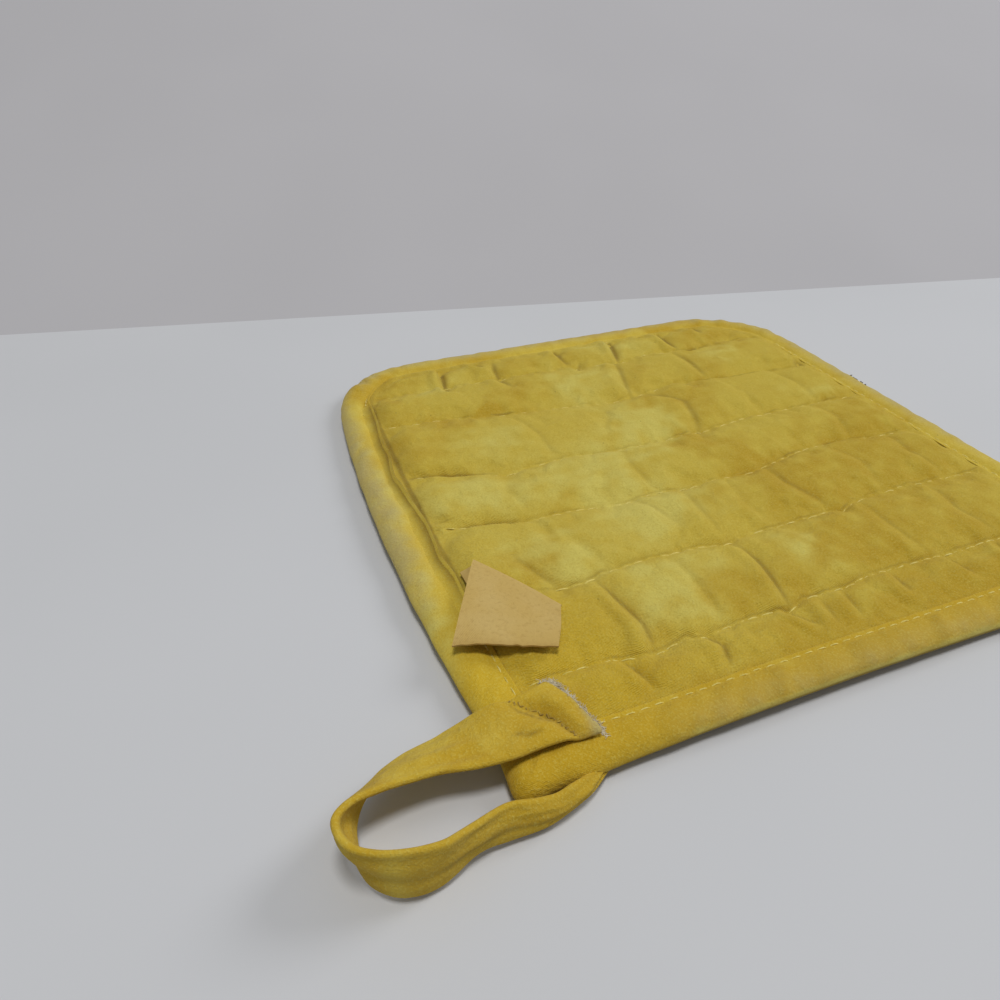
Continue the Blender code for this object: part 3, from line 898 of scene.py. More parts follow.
@dataclass(frozen=True)
class Crease:
    """A crease in the cloth, steep on its left, with painted shade: its path, half width and depth.
    """

    path: Line
    half_width: float
    depth: float
    stretch: float = 2.2
    # How wide the steep side is and how much wider the gentle one, as shares of the half width.
    widths: Point = (0.65, 1.05)
    # The round and the sharp part of the valley, and the crest that it throws up.
    round_part: float = 0.4
    sharp_part: float = 0.6
    crest_part: float = 0.45
    # How dark the painted shade is in the fold's core and on the cloth beside it.
    core_shade: float = 0.95
    side_shade: float = 0.32

    def at(self, x: np.ndarray, y: np.ndarray) -> tuple[np.ndarray, np.ndarray]:
        """Find what the crease does at plan points.

        Args:
            x: Plan x of the points.
            y: Plan y of the points.

        Returns:
            The height that it adds, and the strength of its fold's painted shade, from 0 to about
            1.
        """
        distance, place, side = along_line(x, y, self.path)
        half = self.half_width
        ends = fading(place, 0.02, 0.4)
        gentle = eased(0.5 + side / half)
        width = half * (self.widths[0] + self.widths[1] * gentle)
        sharp = np.exp(-2.0 * distance / width)
        valley = self.round_part * bell(distance, width) + self.sharp_part * sharp
        crest = (1.0 - gentle) * bell(distance - 1.5 * half, 0.8 * half)
        core = bell(side - 0.15 * half, 0.30 * half) * bell(distance, half)
        shade = self.side_shade * gentle * bell(distance, 1.5 * half)
        fold = min(1.0, self.depth) * ends * (self.core_shade * core + shade)
        return -self.stretch * self.depth * ends * (valley - self.crest_part * crest), fold


@dataclass
class QuiltedPad:
    """The filled pad: two cotton faces with batting, sewn into channels."""

    rim_inset: float = 7.7
    seam_inset: float = 9.95
    seam_height: float = 4.8
    rim_top: float = 4.2
    rim_bottom: float = 1.8
    far_ridge: float = 0.55
    flat_inset: float = 13.5
    pitch: float = 1.15
    side_rounding: float = 6.0
    groove_reach: float = 1.5
    groove_below: float = 0.7
    stitch_columns: int = 3
    swell_cap: float = 0.5
    swell_slide: float = 0.30
    # A tight run of stitches: how deep it draws the cloth in, how far past the line, how wide.
    tight_dip: Point = (0.55, 0.2, 0.8)
    # The painted shade just past a tight run: how far past the line, how wide.
    tight_shade: Point = (0.55, 0.50)
    # The painted shade beside a line: at the near one, its loss from line to line, its unevenness.
    line_shade: Point = (0.48, 0.04, 0.24)
    line_shade_place: Point = (0.45, 0.42)
    soft_rise: float = 0.22
    lump_rise: float = 0.07
    seam_step: Point = (8.6, 0.9)
    # The ridge by the far and right seams: how far in it starts, and over how far it grows.
    ridge_start: Point = (18.0, 5.0)
    ridge_inside: Point = (9.2, 0.7)
    ridge_fall: Point = (0.3, 4.0)
    ridge_unevenness: float = 0.7
    # The dip round a needle hole: depth, width and how far it is felt.
    needle_dip: Point = (0.32, 1.0, 4.0)
    # The painted shade in the gap beside the left seam: inset, width, and over which y.
    gap_line: Point = (10.3, 0.7)
    gap_span: Point = (46.0, 156.0)
    gap_reach: float = 14.0
    cloth_unevenness: float = 0.05
    frames: int = 22
    lines: tuple[Line, ...] = (
        (
            (9, 21.5), (31, 21.3), (38, 19.4), (48, 20.9), (50, 19.4), (56, 20.4), (64, 20.9),
            (71.6, 20.2), (73.5, 19.3), (79, 21.6), (92, 21.4), (98.4, 22.6), (130, 22.0),
            (163, 21.0),
        ),
        (
            (9, 47.0), (24.6, 45.5), (29, 44.8), (35.5, 44.4), (41, 45.9), (54, 46.4), (68, 46.0),
            (74, 44.2), (80, 45.8), (98, 46.0), (108, 46.3), (111, 44.8), (116, 47.0), (125, 48.3),
            (163, 47.0),
        ),
        (
            (9, 76.0), (17, 74.6), (31, 70.9), (50, 70.6), (59, 68.8), (70, 70.2), (78, 69.0),
            (90, 69.6), (100, 68.9), (110, 71.2), (121, 73.4), (135, 74.2), (147, 72.0),
            (163, 71.5),
        ),
        (
            (9, 103.2), (11.5, 100.6), (19, 99.2), (31.5, 94.7), (36, 92.8), (44, 94.4), (56, 95.0),
            (68, 92.9), (92, 93.4), (120, 96.0), (163, 95.5),
        ),
        (
            (9, 132.0), (16, 130.2), (32, 129.2), (40, 126.4), (47, 125.6), (56, 124.4),
            (69, 123.2), (86, 120.4), (96, 122.3), (110, 124.4), (119, 122.8), (143, 121.4),
            (163, 120.4),
        ),
        (
            (9, 150.5), (30, 150.0), (60, 149.6), (79, 149.0), (86, 147.2), (101, 146.0),
            (115, 149.2), (130, 146.2), (143, 148.2), (163, 147.0),
        ),
    )
    crowns: Point = (1.2, 2.1, 2.2, 2.1, 2.2, 2.0, 1.5)
    creases: tuple[Crease, ...] = tuple(Crease(*row) for row in (
        (((36.5, 168), (37.8, 160), (36.2, 152), (35.5, 144)), 1.9, 1.2),
        (((50.8, 168), (50.3, 162), (52.2, 157)), 1.8, 1.1),
        (((57.8, 163), (55.6, 155), (55.3, 147), (56, 139)), 2.6, 0.7),
        (((82.8, 166), (81.6, 156), (82.5, 151)), 2.2, 0.8), (((79, 150.5), (84, 146.5)), 1.6, 0.7),
        (((87, 151), (83.5, 145)), 1.6, 0.6),
        (((106.8, 168), (103.6, 158), (100.6, 147)), 2.0, 1.2),
        (((98.5, 148), (95.8, 138), (92.4, 127), (90.5, 119)), 2.6, 0.55),
        (((119.2, 165.5), (117.2, 160.5)), 1.7, 1.0),
        (((126.6, 164), (125.2, 156), (125.6, 148)), 2.2, 0.9),
        (((128, 145.5), (139, 147.3)), 1.5, 0.9),
        (((121.5, 146), (122.4, 134), (121.8, 123)), 3.0, 0.50),
        (((142.5, 165), (141, 155)), 2.6, 0.6),
        (((93, 126), (99, 118), (104, 110), (101, 98), (96, 86)), 3.4, 0.5),
        (((114, 117), (110, 126)), 2.6, 0.4), (((158.5, 121), (164, 125)), 1.8, 0.8),
        (((126, 120.9), (143, 120.6), (160, 119.8)), 1.3, 0.5),
        (((10, 102.0), (19, 99.4), (32, 94.9)), 1.2, 0.75),
        (((15, 75.0), (24, 72.8), (31.5, 71.1)), 1.2, 0.75), (((10.5, 79), (16, 77)), 0.9, 0.5),
        (((37.5, 44), (38.6, 36), (40.4, 27), (39.4, 20)), 1.9, 0.75),
        (((75.6, 43.5), (76.6, 36), (75.4, 27), (73.6, 20)), 1.9, 0.75),
        (((57.5, 44), (59, 33), (57, 21)), 4.0, 0.25),
        (((51.5, 20.5), (53.2, 16), (51.8, 11)), 1.6, 0.75),
        (((31.6, 20.5), (33.2, 16), (34.2, 12)), 1.6, 0.65), (((72.5, 19), (77, 13)), 1.6, 0.6),
        (((82, 20), (81, 12)), 1.8, 0.5), (((88.5, 20), (87.5, 12)), 1.8, 0.5),
        (((76.5, 68), (75, 58), (74.6, 46)), 2.6, 0.35),
        (((62, 68), (64.6, 62), (66, 55)), 2.6, 0.35),
        (((105, 69), (104, 60), (108.5, 47)), 3.0, 0.50),
        (((22, 58), (26, 50), (30, 44)), 3.0, 0.45), (((51, 94), (52, 106), (49, 121)), 3.4, 0.3),
        (((70, 70), (69, 82), (71, 92)), 3.2, 0.3), (((90, 46), (88, 57), (90, 68)), 3.2, 0.20),
        (((140, 22), (138, 34), (141, 46)), 2.6, 0.40),
        (((118, 22), (116, 34), (118, 47)), 2.6, 0.35),
        (((128, 48), (131, 60), (128, 72)), 2.8, 0.30),
        (((150, 48), (148, 60), (151, 71)), 2.6, 0.40),
        (((140, 73), (143, 84), (141, 95)), 2.8, 0.30),
        (((124, 96), (126, 108), (123, 121)), 3.0, 0.22),
        (((146, 96), (147, 108), (145, 121)), 3.0, 0.30), (((104, 21), (103, 14)), 1.8, 0.6),
        (((121, 21), (122, 13)), 1.8, 0.6), (((137, 21), (135, 14)), 1.8, 0.6),
        (((130.0, 73.3), (134.5, 73.5)), 1.1, 0.7),
    ))
    # Runs of a line of stitches that are drawn in hard: the line, its start and end x, how hard.
    tight_runs: tuple[tuple[int, float, float, float], ...] = (
        (3, 9.0, 34.0, 1.0), (2, 15.0, 32.0, 0.9), (4, 43.0, 52.0, 0.9), (4, 121.0, 163.0, 0.6),
        (5, 127.0, 140.0, 0.7), (2, 129.0, 135.0, 0.6), (1, 27.0, 39.0, 0.5), (0, 36.0, 54.0, 0.6),
        (0, 70.0, 76.0, 0.7), (1, 109.0, 116.0, 0.6), (2, 56.0, 62.0, 0.4), (0, 96.0, 120.0, 0.5),
    )
    softness: Unevenness = Unevenness(seed=3, pitch=13.0)
    tightness: Unevenness = Unevenness(seed=6, pitch=9.0)
    lumps: Unevenness = Unevenness(seed=4, pitch=4.2)
    underside_lumps: Unevenness = Unevenness(seed=5, pitch=9.0)
    row_of_line: list[int] = field(default_factory=list)
    columns: np.ndarray | None = None

    def line_y(self, x: np.ndarray) -> np.ndarray:
        """Return the y of the near seam, each line of stitches and the far seam at x."""
        lines = [np.interp(x, *np.array(line, float).T) for line in self.lines]
        near = np.full(np.shape(x), PLAN.near + self.seam_inset)
        far = np.full(np.shape(x), PLAN.far - self.seam_inset)
        return np.array([near, *lines, far])

    def crown(self, x: np.ndarray, y: np.ndarray) -> tuple[np.ndarray, np.ndarray]:
        """Find the height that the filling gives a face, without its creases.

        Args:
            x: Plan x of the points.
            y: Plan y of the points.

        Returns:
            The height over the stitches, and how free of the stitches the cloth is, 0 to 1.
        """
        lines = self.line_y(x)
        height, free = np.zeros(np.shape(x)), np.zeros(np.shape(x))
        for channel, rise in enumerate(self.crowns):
            low, high = lines[channel], lines[channel + 1]
            share = np.clip((y - low) / (high - low), 0, 1)
            inside = (y >= low) & (y < high)
            drawn_in = 1.0 - np.exp(-np.minimum(y - low, high - y) / self.groove_reach)
            arch = fading(share, 0.0, 0.8)
            height = np.where(inside, rise * (0.5 * arch + 0.5 * drawn_in), height)
            free = np.where(inside, drawn_in, free)
        return height, free

    def creased(self, x: np.ndarray, y: np.ndarray) -> tuple[np.ndarray, np.ndarray]:
        """Find what the creases and the tightest runs of stitches do to the face.

        Args:
            x: Plan x of the points.
            y: Plan y of the points.

        Returns:
            The height that they add, and the strength of their painted shade, 0 to about 1.
        """
        height, folds = np.zeros(np.shape(x)), np.zeros(np.shape(x))
        for crease in self.creases:
            dip, fold = crease.at(x, y)
            height, folds = height + dip, np.maximum(folds, fold)
        lines = self.line_y(x)[1:-1]
        depth, beyond, width = self.tight_dip
        shade_beyond, shade_width = self.tight_shade
        for line, start, end, strength in self.tight_runs:
            run = strength * hump(x, start, end) ** 0.5
            height = height - depth * run * bell(y - lines[line] - beyond, width)
            folds = np.maximum(folds, run * bell(y - lines[line] - shade_beyond, shade_width))
        strongest, loss, unevenness = self.line_shade
        shade_beyond, shade_width = self.line_shade_place
        for index, line in enumerate(lines):
            loose = strongest - loss * index + unevenness * self.tightness(x, y)
            folds = np.maximum(folds, loose * bell(y - line - shade_beyond, shade_width))
        return height, folds

    def top_height(self, x: np.ndarray, y: np.ndarray) -> np.ndarray:
        """Find the height of the quilted face.

        Args:
            x: Plan x of the points.
            y: Plan y of the points.

        Returns:
            The height over the table, with crowns, creases and seams.
        """
        inset = PLAN.inset_of(x, y)
        inside = eased((inset - self.seam_inset) / self.side_rounding)
        height, free = self.crown(x, y)
        creased, _ = self.creased(x, y)
        soft = self.soft_rise * self.softness(x, y) + self.lump_rise * self.lumps(x, y)
        loose = eased((inset - self.seam_inset + 1.0) / 3.0)
        height = height * inside + (creased * (0.5 + 0.5 * free) + soft) * loose
        step, run = self.seam_step
        at_seam = self.rim_top + (self.seam_height - self.rim_top) * eased((inset - step) / run)
        return at_seam + height + self.far_ridge * self.ridge(x, y, inset)

    def ridge(self, x: np.ndarray, y: np.ndarray, inset: np.ndarray) -> np.ndarray:
        """Find the uneven ridge that the filling makes beside the far and the right seam.

        Args:
            x: Plan x of the points.
            y: Plan y of the points.
            inset: How far they lie inside the outline.

        Returns:
            The ridge's strength, 0 to about 1.
        """
        start, growth = self.ridge_start
        sides = np.maximum(
            eased((y - PLAN.far + start) / growth), eased((x - PLAN.right + start) / growth)
        )
        uneven = 1.0 + self.ridge_unevenness * self.softness(2.0 * x, 2.0 * y)
        (inner, rise), (outer, fall) = self.ridge_inside, self.ridge_fall
        risen = sides * uneven * eased((inset - inner) / rise)
        return risen * (1.0 - eased((inset - self.seam_inset - outer) / fall))

    def bottom_height(self, x: np.ndarray, y: np.ndarray) -> np.ndarray:
        """Return the height of the plain underside at plan points."""
        inset = PLAN.inset_of(x, y)
        resting = eased((inset - self.seam_inset) / (self.flat_inset - self.seam_inset))
        groove = sum(bell(y - line, 1.9) for line in self.line_y(x)[1:-1])
        rise = self.groove_below * groove + 0.12 * (1.0 + self.underside_lumps(x, y))
        return self.rim_bottom * (1.0 - resting) + np.clip(rise, 0.0, None) * resting

    def grid(self) -> tuple[np.ndarray, list[tuple[int, ...]], dict[tuple[int, int], int]]:
        """Lay out the face's grid, with a row along each line of stitches.

        Returns:
            The plan points, the faces, and the index of each kept point by row and column.
        """
        middle = np.linspace(20.0, 155.0, 28)
        nominal = self.line_y(middle).mean(axis=1)
        bounds = [PLAN.near + self.rim_inset, *nominal, PLAN.far - self.rim_inset]
        rows, self.row_of_line = [], []
        for low, high in zip(bounds, bounds[1:]):
            count = max(2, round((high - low) / self.pitch))
            self.row_of_line.append(len(rows))
            rows += list(np.linspace(low, high, count, endpoint=False))
        rows.append(bounds[-1])
        self.row_of_line = self.row_of_line[2:]
        count = round((PLAN.right - PLAN.left - 2 * self.rim_inset) / self.pitch)
        left, right = PLAN.left + self.rim_inset, PLAN.right - self.rim_inset
        self.columns = np.linspace(left, right, count + 1)
        points, index_of = [], {}
        for row, nominal_y in enumerate(rows):
            actual = self.line_y(self.columns)
            for column, x in enumerate(self.columns):
                places = [bounds[0], *actual[:, column], bounds[-1]]
                y = float(np.interp(nominal_y, bounds, places))
                if PLAN.inset_of(np.array(x), np.array(y)) >= self.rim_inset - 1e-6:
                    index_of[row, column] = len(points)
                    points.append((x, y))
        faces = []
        for row in range(len(rows) - 1):
            for column in range(count):
                corners = [
                    (row, column), (row, column + 1), (row + 1, column + 1), (row + 1, column),
                ]
                if all(corner in index_of for corner in corners):
                    faces.append(tuple(index_of[corner] for corner in corners))
        used = sorted({index for face in faces for index in face})
        renumbered = {old: new for new, old in enumerate(used)}
        faces = [tuple(renumbered[index] for index in face) for face in faces]
        index_of = {key: renumbered[old] for key, old in index_of.items() if old in renumbered}
        return np.array([points[old] for old in used]), faces, index_of

    def swell(self, start: np.ndarray, faces: list, pinned: list[int]) -> np.ndarray:
        """Let the face swell and crinkle between its stitches, as cloth in a simulation.

        Args:
            start: The face's points before, in plan millimetres.
            faces: Its faces.
            pinned: The points that the stitches and the binding hold.

        Returns:
            The points after, each moved no further than the cap.
        """
        scale = 0.01
        data = bpy.data.meshes.new("swelling face")
        data.from_pydata((start * scale).tolist(), [], faces)
        cloth = placed("swelling face", data)
        cloth.vertex_groups.new(name="sewn").add(pinned, 1.0, "REPLACE")
        modifier = cloth.modifiers.new("Cloth", "CLOTH")
        settings = modifier.settings
        settings.quality = 5
        settings.mass = 0.2
        settings.tension_stiffness = settings.compression_stiffness = 18.0
        settings.shear_stiffness = 6.0
        settings.bending_stiffness = 0.35
        settings.air_damping = 2.0
        settings.vertex_group_mass = "sewn"
        settings.pin_stiffness = 1.0
        settings.shrink_min = settings.shrink_max = -0.035
        settings.use_pressure = True
        settings.uniform_pressure_force = 1.2
        settings.effector_weights.gravity = 0.0
        modifier.collision_settings.use_collision = False
        scene = bpy.context.scene
        for moment in range(1, self.frames + 1):
            scene.frame_set(moment)
        settled = cloth.evaluated_get(bpy.context.evaluated_depsgraph_get())
        points = np.zeros(len(start) * 3)
        settled.data.vertices.foreach_get("co", points)
        scene.frame_set(1)
        bpy.data.objects.remove(cloth)
        moved = points.reshape(-1, 3) / scale - start
        slide = np.linalg.norm(moved[:, :2], axis=1, keepdims=True)
        moved[:, :2] *= np.minimum(1.0, self.swell_slide / np.maximum(slide, 1e-9))
        moved[:, 2] = self.swell_cap * np.tanh(moved[:, 2] / self.swell_cap)
        LOG.info("face swelled by %.2f to %.2f mm", moved[:, 2].min(), moved[:, 2].max())
        return start + moved

    def holes(self) -> list[np.ndarray]:
        """Return the needle holes of each line of stitches, in plan x and y."""
        xs = self.columns[:: self.stitch_columns]
        found = []
        for line in range(len(self.lines)):
            ys = self.line_y(xs)[line + 1]
            sewn = PLAN.inset_of(xs, ys) > self.seam_inset + 0.6
            found.append(np.stack([xs[sewn], ys[sewn]], axis=1))
        return found

    def build(self) -> bpy.types.Object:
        """Model the pad as one closed, filled form.

        Returns:
            The finished pad.
        """
        plan, faces, index_of = self.grid()
        start = np.column_stack([plan, self.top_height(*plan.T)])
        pinned = set(np.flatnonzero(PLAN.inset_of(*plan.T) < self.seam_inset + 0.8).tolist())
        for row in self.row_of_line:
            for column in range(0, len(self.columns), self.stitch_columns):
                if (row, column) in index_of:
                    pinned.add(index_of[row, column])
        start = self.swell(start, faces, sorted(pinned))
        top = Surface(start, faces).build("quilted_pad")
        subdivide(top)
        points = plan_points(top)
        depth, width, reach = self.needle_dip
        for x, y in np.vstack(self.holes()):
            near = np.abs(points[:, 0] - x) < reach
            distance = np.hypot(points[near, 0] - x, points[near, 1] - y)
            points[near, 2] -= depth * bell(distance, width)
        uneven = self.cloth_unevenness * self.lumps(points[:, 0] * 2.1, points[:, 1] * 2.1)
        points[:, 2] += uneven * eased((PLAN.inset_of(*points[:, :2].T) - self.seam_inset) / 3.0)
        move_points(top, points)
        self.close_underneath(top, plan, faces)
        points = plan_points(top)
        weave = points[:, :2].copy()
        on_top = points[:, 2] > self.rim_top - 0.1
        inset = PLAN.inset_of(*weave.T)
        inside = eased((inset - self.seam_inset) / 1.5)
        # Painted shade: in the folds, beside the lines, and in the gap beside the left seam.
        gap = bell(inset - self.gap_line[0], self.gap_line[1])
        gap = gap * hump(weave[:, 1], *self.gap_span) ** 0.4
        gap = gap * (weave[:, 0] < PLAN.left + self.gap_reach)
        store(top, "painted_shade", on_top * np.maximum(inside * self.creased(*weave.T)[1], gap))
        move_points(top, PLAN.settle(points))
        lay_weave(top.data, at_corners(top.data, weave))
        face_outwards(top)
        return top

    def close_underneath(self, top: bpy.types.Object, plan: np.ndarray, faces: list) -> None:
        """Add the underside and join it to the face all round.

        Args:
            top: The refined face, whose first points are the grid's own.
            plan: The grid's plan points.
            faces: The grid's faces.
        """
        shell = bmesh.new()
        shell.from_mesh(top.data)
        shell.verts.ensure_lookup_table()
        height = self.bottom_height(*plan.T)
        lower = PLAN.to_metres(np.column_stack([plan, height]))
        under = [shell.verts.new(point) for point in lower]
        used: dict[tuple[int, int], int] = {}
        for face in faces:
            shell.faces.new([under[index] for index in face[::-1]])
            for index, corner in enumerate(face):
                edge = (corner, face[(index + 1) % 4])
                used[edge] = used.get(edge, 0) + 1
        upper = list(shell.verts)

        def rim_neighbours(corner: bmesh.types.BMVert) -> list[bmesh.types.BMVert]:
            """Return the points that follow and precede a point along the open rim."""
            return [edge.other_vert(corner) for edge in corner.link_edges if edge.is_boundary]

        for start, end in used:
            if (end, start) in used:
                continue
            beside = rim_neighbours(upper[start])
            middle = next(point for point in beside if upper[end] in rim_neighbours(point))
            shell.faces.new((upper[end], middle, upper[start], under[start], under[end]))
        bmesh.ops.triangulate(shell, faces=[face for face in shell.faces if len(face.verts) > 4])
        shell.to_mesh(top.data)
        shell.free()


@dataclass
class BiasBinding:
    """The bias tape folded round the edge, gathered at the corners, its left seam edge lifted."""

    spacing: float = 1.25
    middle: float = 3.0
    seam_dip: float = 0.32
    gather: float = 0.36
    wave: float = 0.30
    lip_rise: float = 1.6
    lip_crease: float = 1.7
    puff: float = 1.0
    puff_place: tuple[float, float] = (5.5, 3.5)
    puff_size: float = 8.5
    # Where the binding is sewn down, how high its top lies there, and the stitches' spacing.
    seam_inset: float = 8.45
    seam_rise: float = 2.1
    seam_spacing: float = 3.4
    # The tape's gathering: on a straight side, what a corner adds, and what the loop's corner adds.
    gathering: Point = (0.65, 1.1, -0.5)
    lump_rise: float = 0.06
    far_drop: float = 0.22
    # The painted shade at the seam's edge, and what is left of it along the far side and its
    # corners.
    edge_shade: float = 0.35
    edge_shade_far: float = 0.2
    # How dark the painted shade in the corners' gathers is.
    corner_shade: float = 0.25
    # The near side's painted shades: under the lifted fold, what a gather adds, and the tucked
    # side.
    tuck_shades: Point = (0.27, 0.14, 1.3)
    # The lifted edge's painted shade lines: at its crease and under its lip.
    lip_shades: Point = (1.00, 0.90)
    # The folded tape's section: inset and height over the middle, from its upper edge, over the
    # top, round the outside and along the underside to its lower edge, and back inside.
    section: tuple[tuple[float, float], ...] = (
        (9.62, 1.62), (9.66, 1.92), (9.40, 2.12), (8.95, 2.16), (8.45, 2.10), (7.95, 2.22),
        (7.10, 2.44), (5.80, 2.60), (4.50, 2.64), (3.30, 2.50), (2.20, 2.12), (1.25, 1.55),
        (0.50, 0.85), (0.08, 0.10), (0.12, -0.65), (0.60, -1.40), (1.50, -2.02), (2.80, -2.44),
        (4.50, -2.60), (6.40, -2.60), (8.60, -2.55), (9.45, -2.50), (9.66, -2.15), (9.50, -1.60),
        (6.00, -1.57), (3.20, -1.40), (2.00, -0.70), (1.65, 0.00), (2.00, 0.70), (3.20, 1.40),
        (6.00, 1.55),
    )
    outer_points: int = 22
    # Offset of the lifted left edge from the plain one, by plan y, and how far it stands up.
    lip: tuple[tuple[float, float, float], ...] = (
        (24.0, 0.0, 0.0), (40.0, 0.3, 0.4), (52.0, 0.6, 0.7), (60.0, -0.4, 1.0), (66.0, 0.2, 0.8),
        (74.0, 0.5, 0.9), (82.0, 0.1, 0.7), (88.0, -0.5, 0.9), (95.0, -1.0, 1.2), (99.0, -1.5, 1.0),
        (104.0, -1.2, 1.0), (112.0, -0.2, 1.0), (117.0, -0.6, 1.1), (124.0, -0.3, 0.8),
        (133.0, 0.4, 0.9), (144.0, 0.6, 0.7), (152.0, 0.0, 0.2), (160.0, 0.0, 0.0),
    )
    # How the near side's outer points are drawn in and down under its lifted fold, by place in
    # the section: inset and height.
    tucked: tuple[tuple[int, float, float], ...] = (
        (11, 0.25, 0.00), (12, 0.55, 0.05), (13, 0.85, 0.10), (14, 0.90, 0.10), (15, 0.50, 0.20),
        (16, 0.50, 0.20), (17, 0.20, 0.00), (18, 0.00, -0.20), (19, 0.00, -0.20), (20, 0.00, -0.20),
    )
    tuck_span: Point = (16.0, 152.0)
    cross_folds: Unevenness = Unevenness(seed=21, pitch=6.0)
    outline_wave: Unevenness = Unevenness(seed=22, pitch=15.0)
    lumps: Unevenness = Unevenness(seed=23, pitch=4.0)

    def build(self) -> bpy.types.Object:
        """Model the binding as one closed tube of folded tape.

        Returns:
            The finished binding.
        """
        stations = PLAN.stations(self.spacing)
        base = np.array(self.section)
        rim = np.array([PLAN.edge_point(segment, share, 0.0) for segment, share in stations])
        steps = np.hypot(*(np.roll(rim, -1, axis=0) - rim).T)
        runs = np.concatenate([[0.0], np.cumsum(steps)])
        lip = np.array(self.lip)
        sections = np.zeros((len(stations), len(base), 3))
        folds = np.zeros((len(stations), len(base)))
        for index, (segment, share) in enumerate(stations):
            x, y = rim[index]
            corner = math.sin(math.pi * share) if segment % 2 else 0.0
            run = runs[index]
            fold = self.cross_folds(np.full(len(base), run), base[:, 0] * 0.35)
            plain, at_corner, at_loop = self.gathering
            amount = self.gather * (plain + (at_corner if segment != 7 else at_loop) * corner)
            outward = self.wave * self.outline_wave(np.array(run), np.array(0.0))
            puff = self.puff_at(x, y)
            inset, height = base[:, 0].copy(), base[:, 1].copy()
            on_top = np.zeros(len(base))
            on_top[: self.outer_points] = eased((height[: self.outer_points] + 1.2) / 2.4)
            crown = np.sin(np.pi * np.clip((inset - 0.5) / 8.2, 0.0, 1.0)) ** 0.6
            height += on_top * (puff + amount * fold * crown)
            height += on_top * self.lump_rise * self.lumps(np.full(len(base), run), inset)
            stitch = bell(inset - self.seam_inset, 0.75) * self.seam_dip
            height -= on_top * stitch * (1.0 - 0.4 * math.cos(TAU * run / self.seam_spacing))
            swelled = outward + 0.35 * amount * fold
            inset -= on_top * np.clip(1.0 - inset / 5.0, 0.0, 1.0) * swelled
            far_side = segment in (3, 4, 5)
            height -= on_top * self.far_drop * far_side * eased((base[:, 0] - 7.0) / 2.0)
            # Painted shade along the tape's inner edge at the seam.
            edge = bell(base[:, 0] - 9.75, 0.35)
            folds[index] = on_top * self.edge_shade * edge * (1.0 + 0.5 * fold)
            folds[index] *= self.edge_shade_far if far_side else 1.0
            if segment == 0:
                lifted = float(hump(np.array(x), *self.tuck_span)) ** 0.5
                for place, drawn_in, drawn_down in self.tucked:
                    inset[place] += lifted * drawn_in
                    height[place] += lifted * drawn_down
                under, gathered, tucked = self.tuck_shades
                folds[index][6:13] += (under + gathered * fold[6:13]) * lifted
                folds[index][14:21] = tucked * lifted
            turned = self.corner_shade * (segment != 7) * corner
            folds[index] += on_top * turned * np.clip(-fold, 0.0, 1.0) * crown
            if x < PLAN.left + 3.0:
                shift, rise = (float(np.interp(y, lip[:, 0], lip[:, column])) for column in (1, 2))
                edge = on_top * eased((inset - 7.0) / 1.6)
                inset += shift * edge
                crease = on_top * bell(base[:, 0] - 7.75, 0.85)
                height -= self.lip_crease * crease * min(1.0, rise)
                height += self.lip_rise * rise * on_top * eased((base[:, 0] - 8.2) / 0.9)
                at_crease, under_lip = self.lip_shades
                folds[index] += min(1.0, rise) * on_top * at_crease * bell(base[:, 0] - 7.85, 0.55)
                folds[index] += min(1.0, rise) * on_top * under_lip * bell(base[:, 0] - 9.80, 0.5)
            sections[index] = [
                (*PLAN.edge_point(segment, share, inwards), self.middle + up)
                for inwards, up in zip(inset, height)
            ]
        around = np.hypot(*np.diff(np.vstack([base, base[:1]]), axis=0).T)
        cells = np.concatenate([[0.0], np.cumsum(around)])
        settled = PLAN.settle(sections.reshape(-1, 3)).reshape(sections.shape)
        tube = swept(settled, True, cells, runs)
        # Painted shade at the seam's edge, in gathers, on the near side and along the lifted left
        # edge.
        tube.marks["painted_shade"] = folds
        piece = tube.build("bias_binding")
        subdivide(piece)
        face_outwards(piece)
        return piece

    def puff_at(self, x: float, y: float) -> float:
        """Return how far the tape puffs up at a plan point by the loop's corner."""
        return self.puff * math.exp(-math.dist((x, y), self.puff_place) ** 2 / self.puff_size**2)

    def seam_point(self, segment: int, share: float) -> np.ndarray:
        """Return the seam's settled place on the tape's upper face, where its stitches lie."""
        x, y = PLAN.edge_point(segment, share, self.seam_inset)
        height = self.middle + self.seam_rise - self.seam_dip + self.puff_at(x, y)
        return PLAN.settle(np.array([[x, y, height]]))[0]


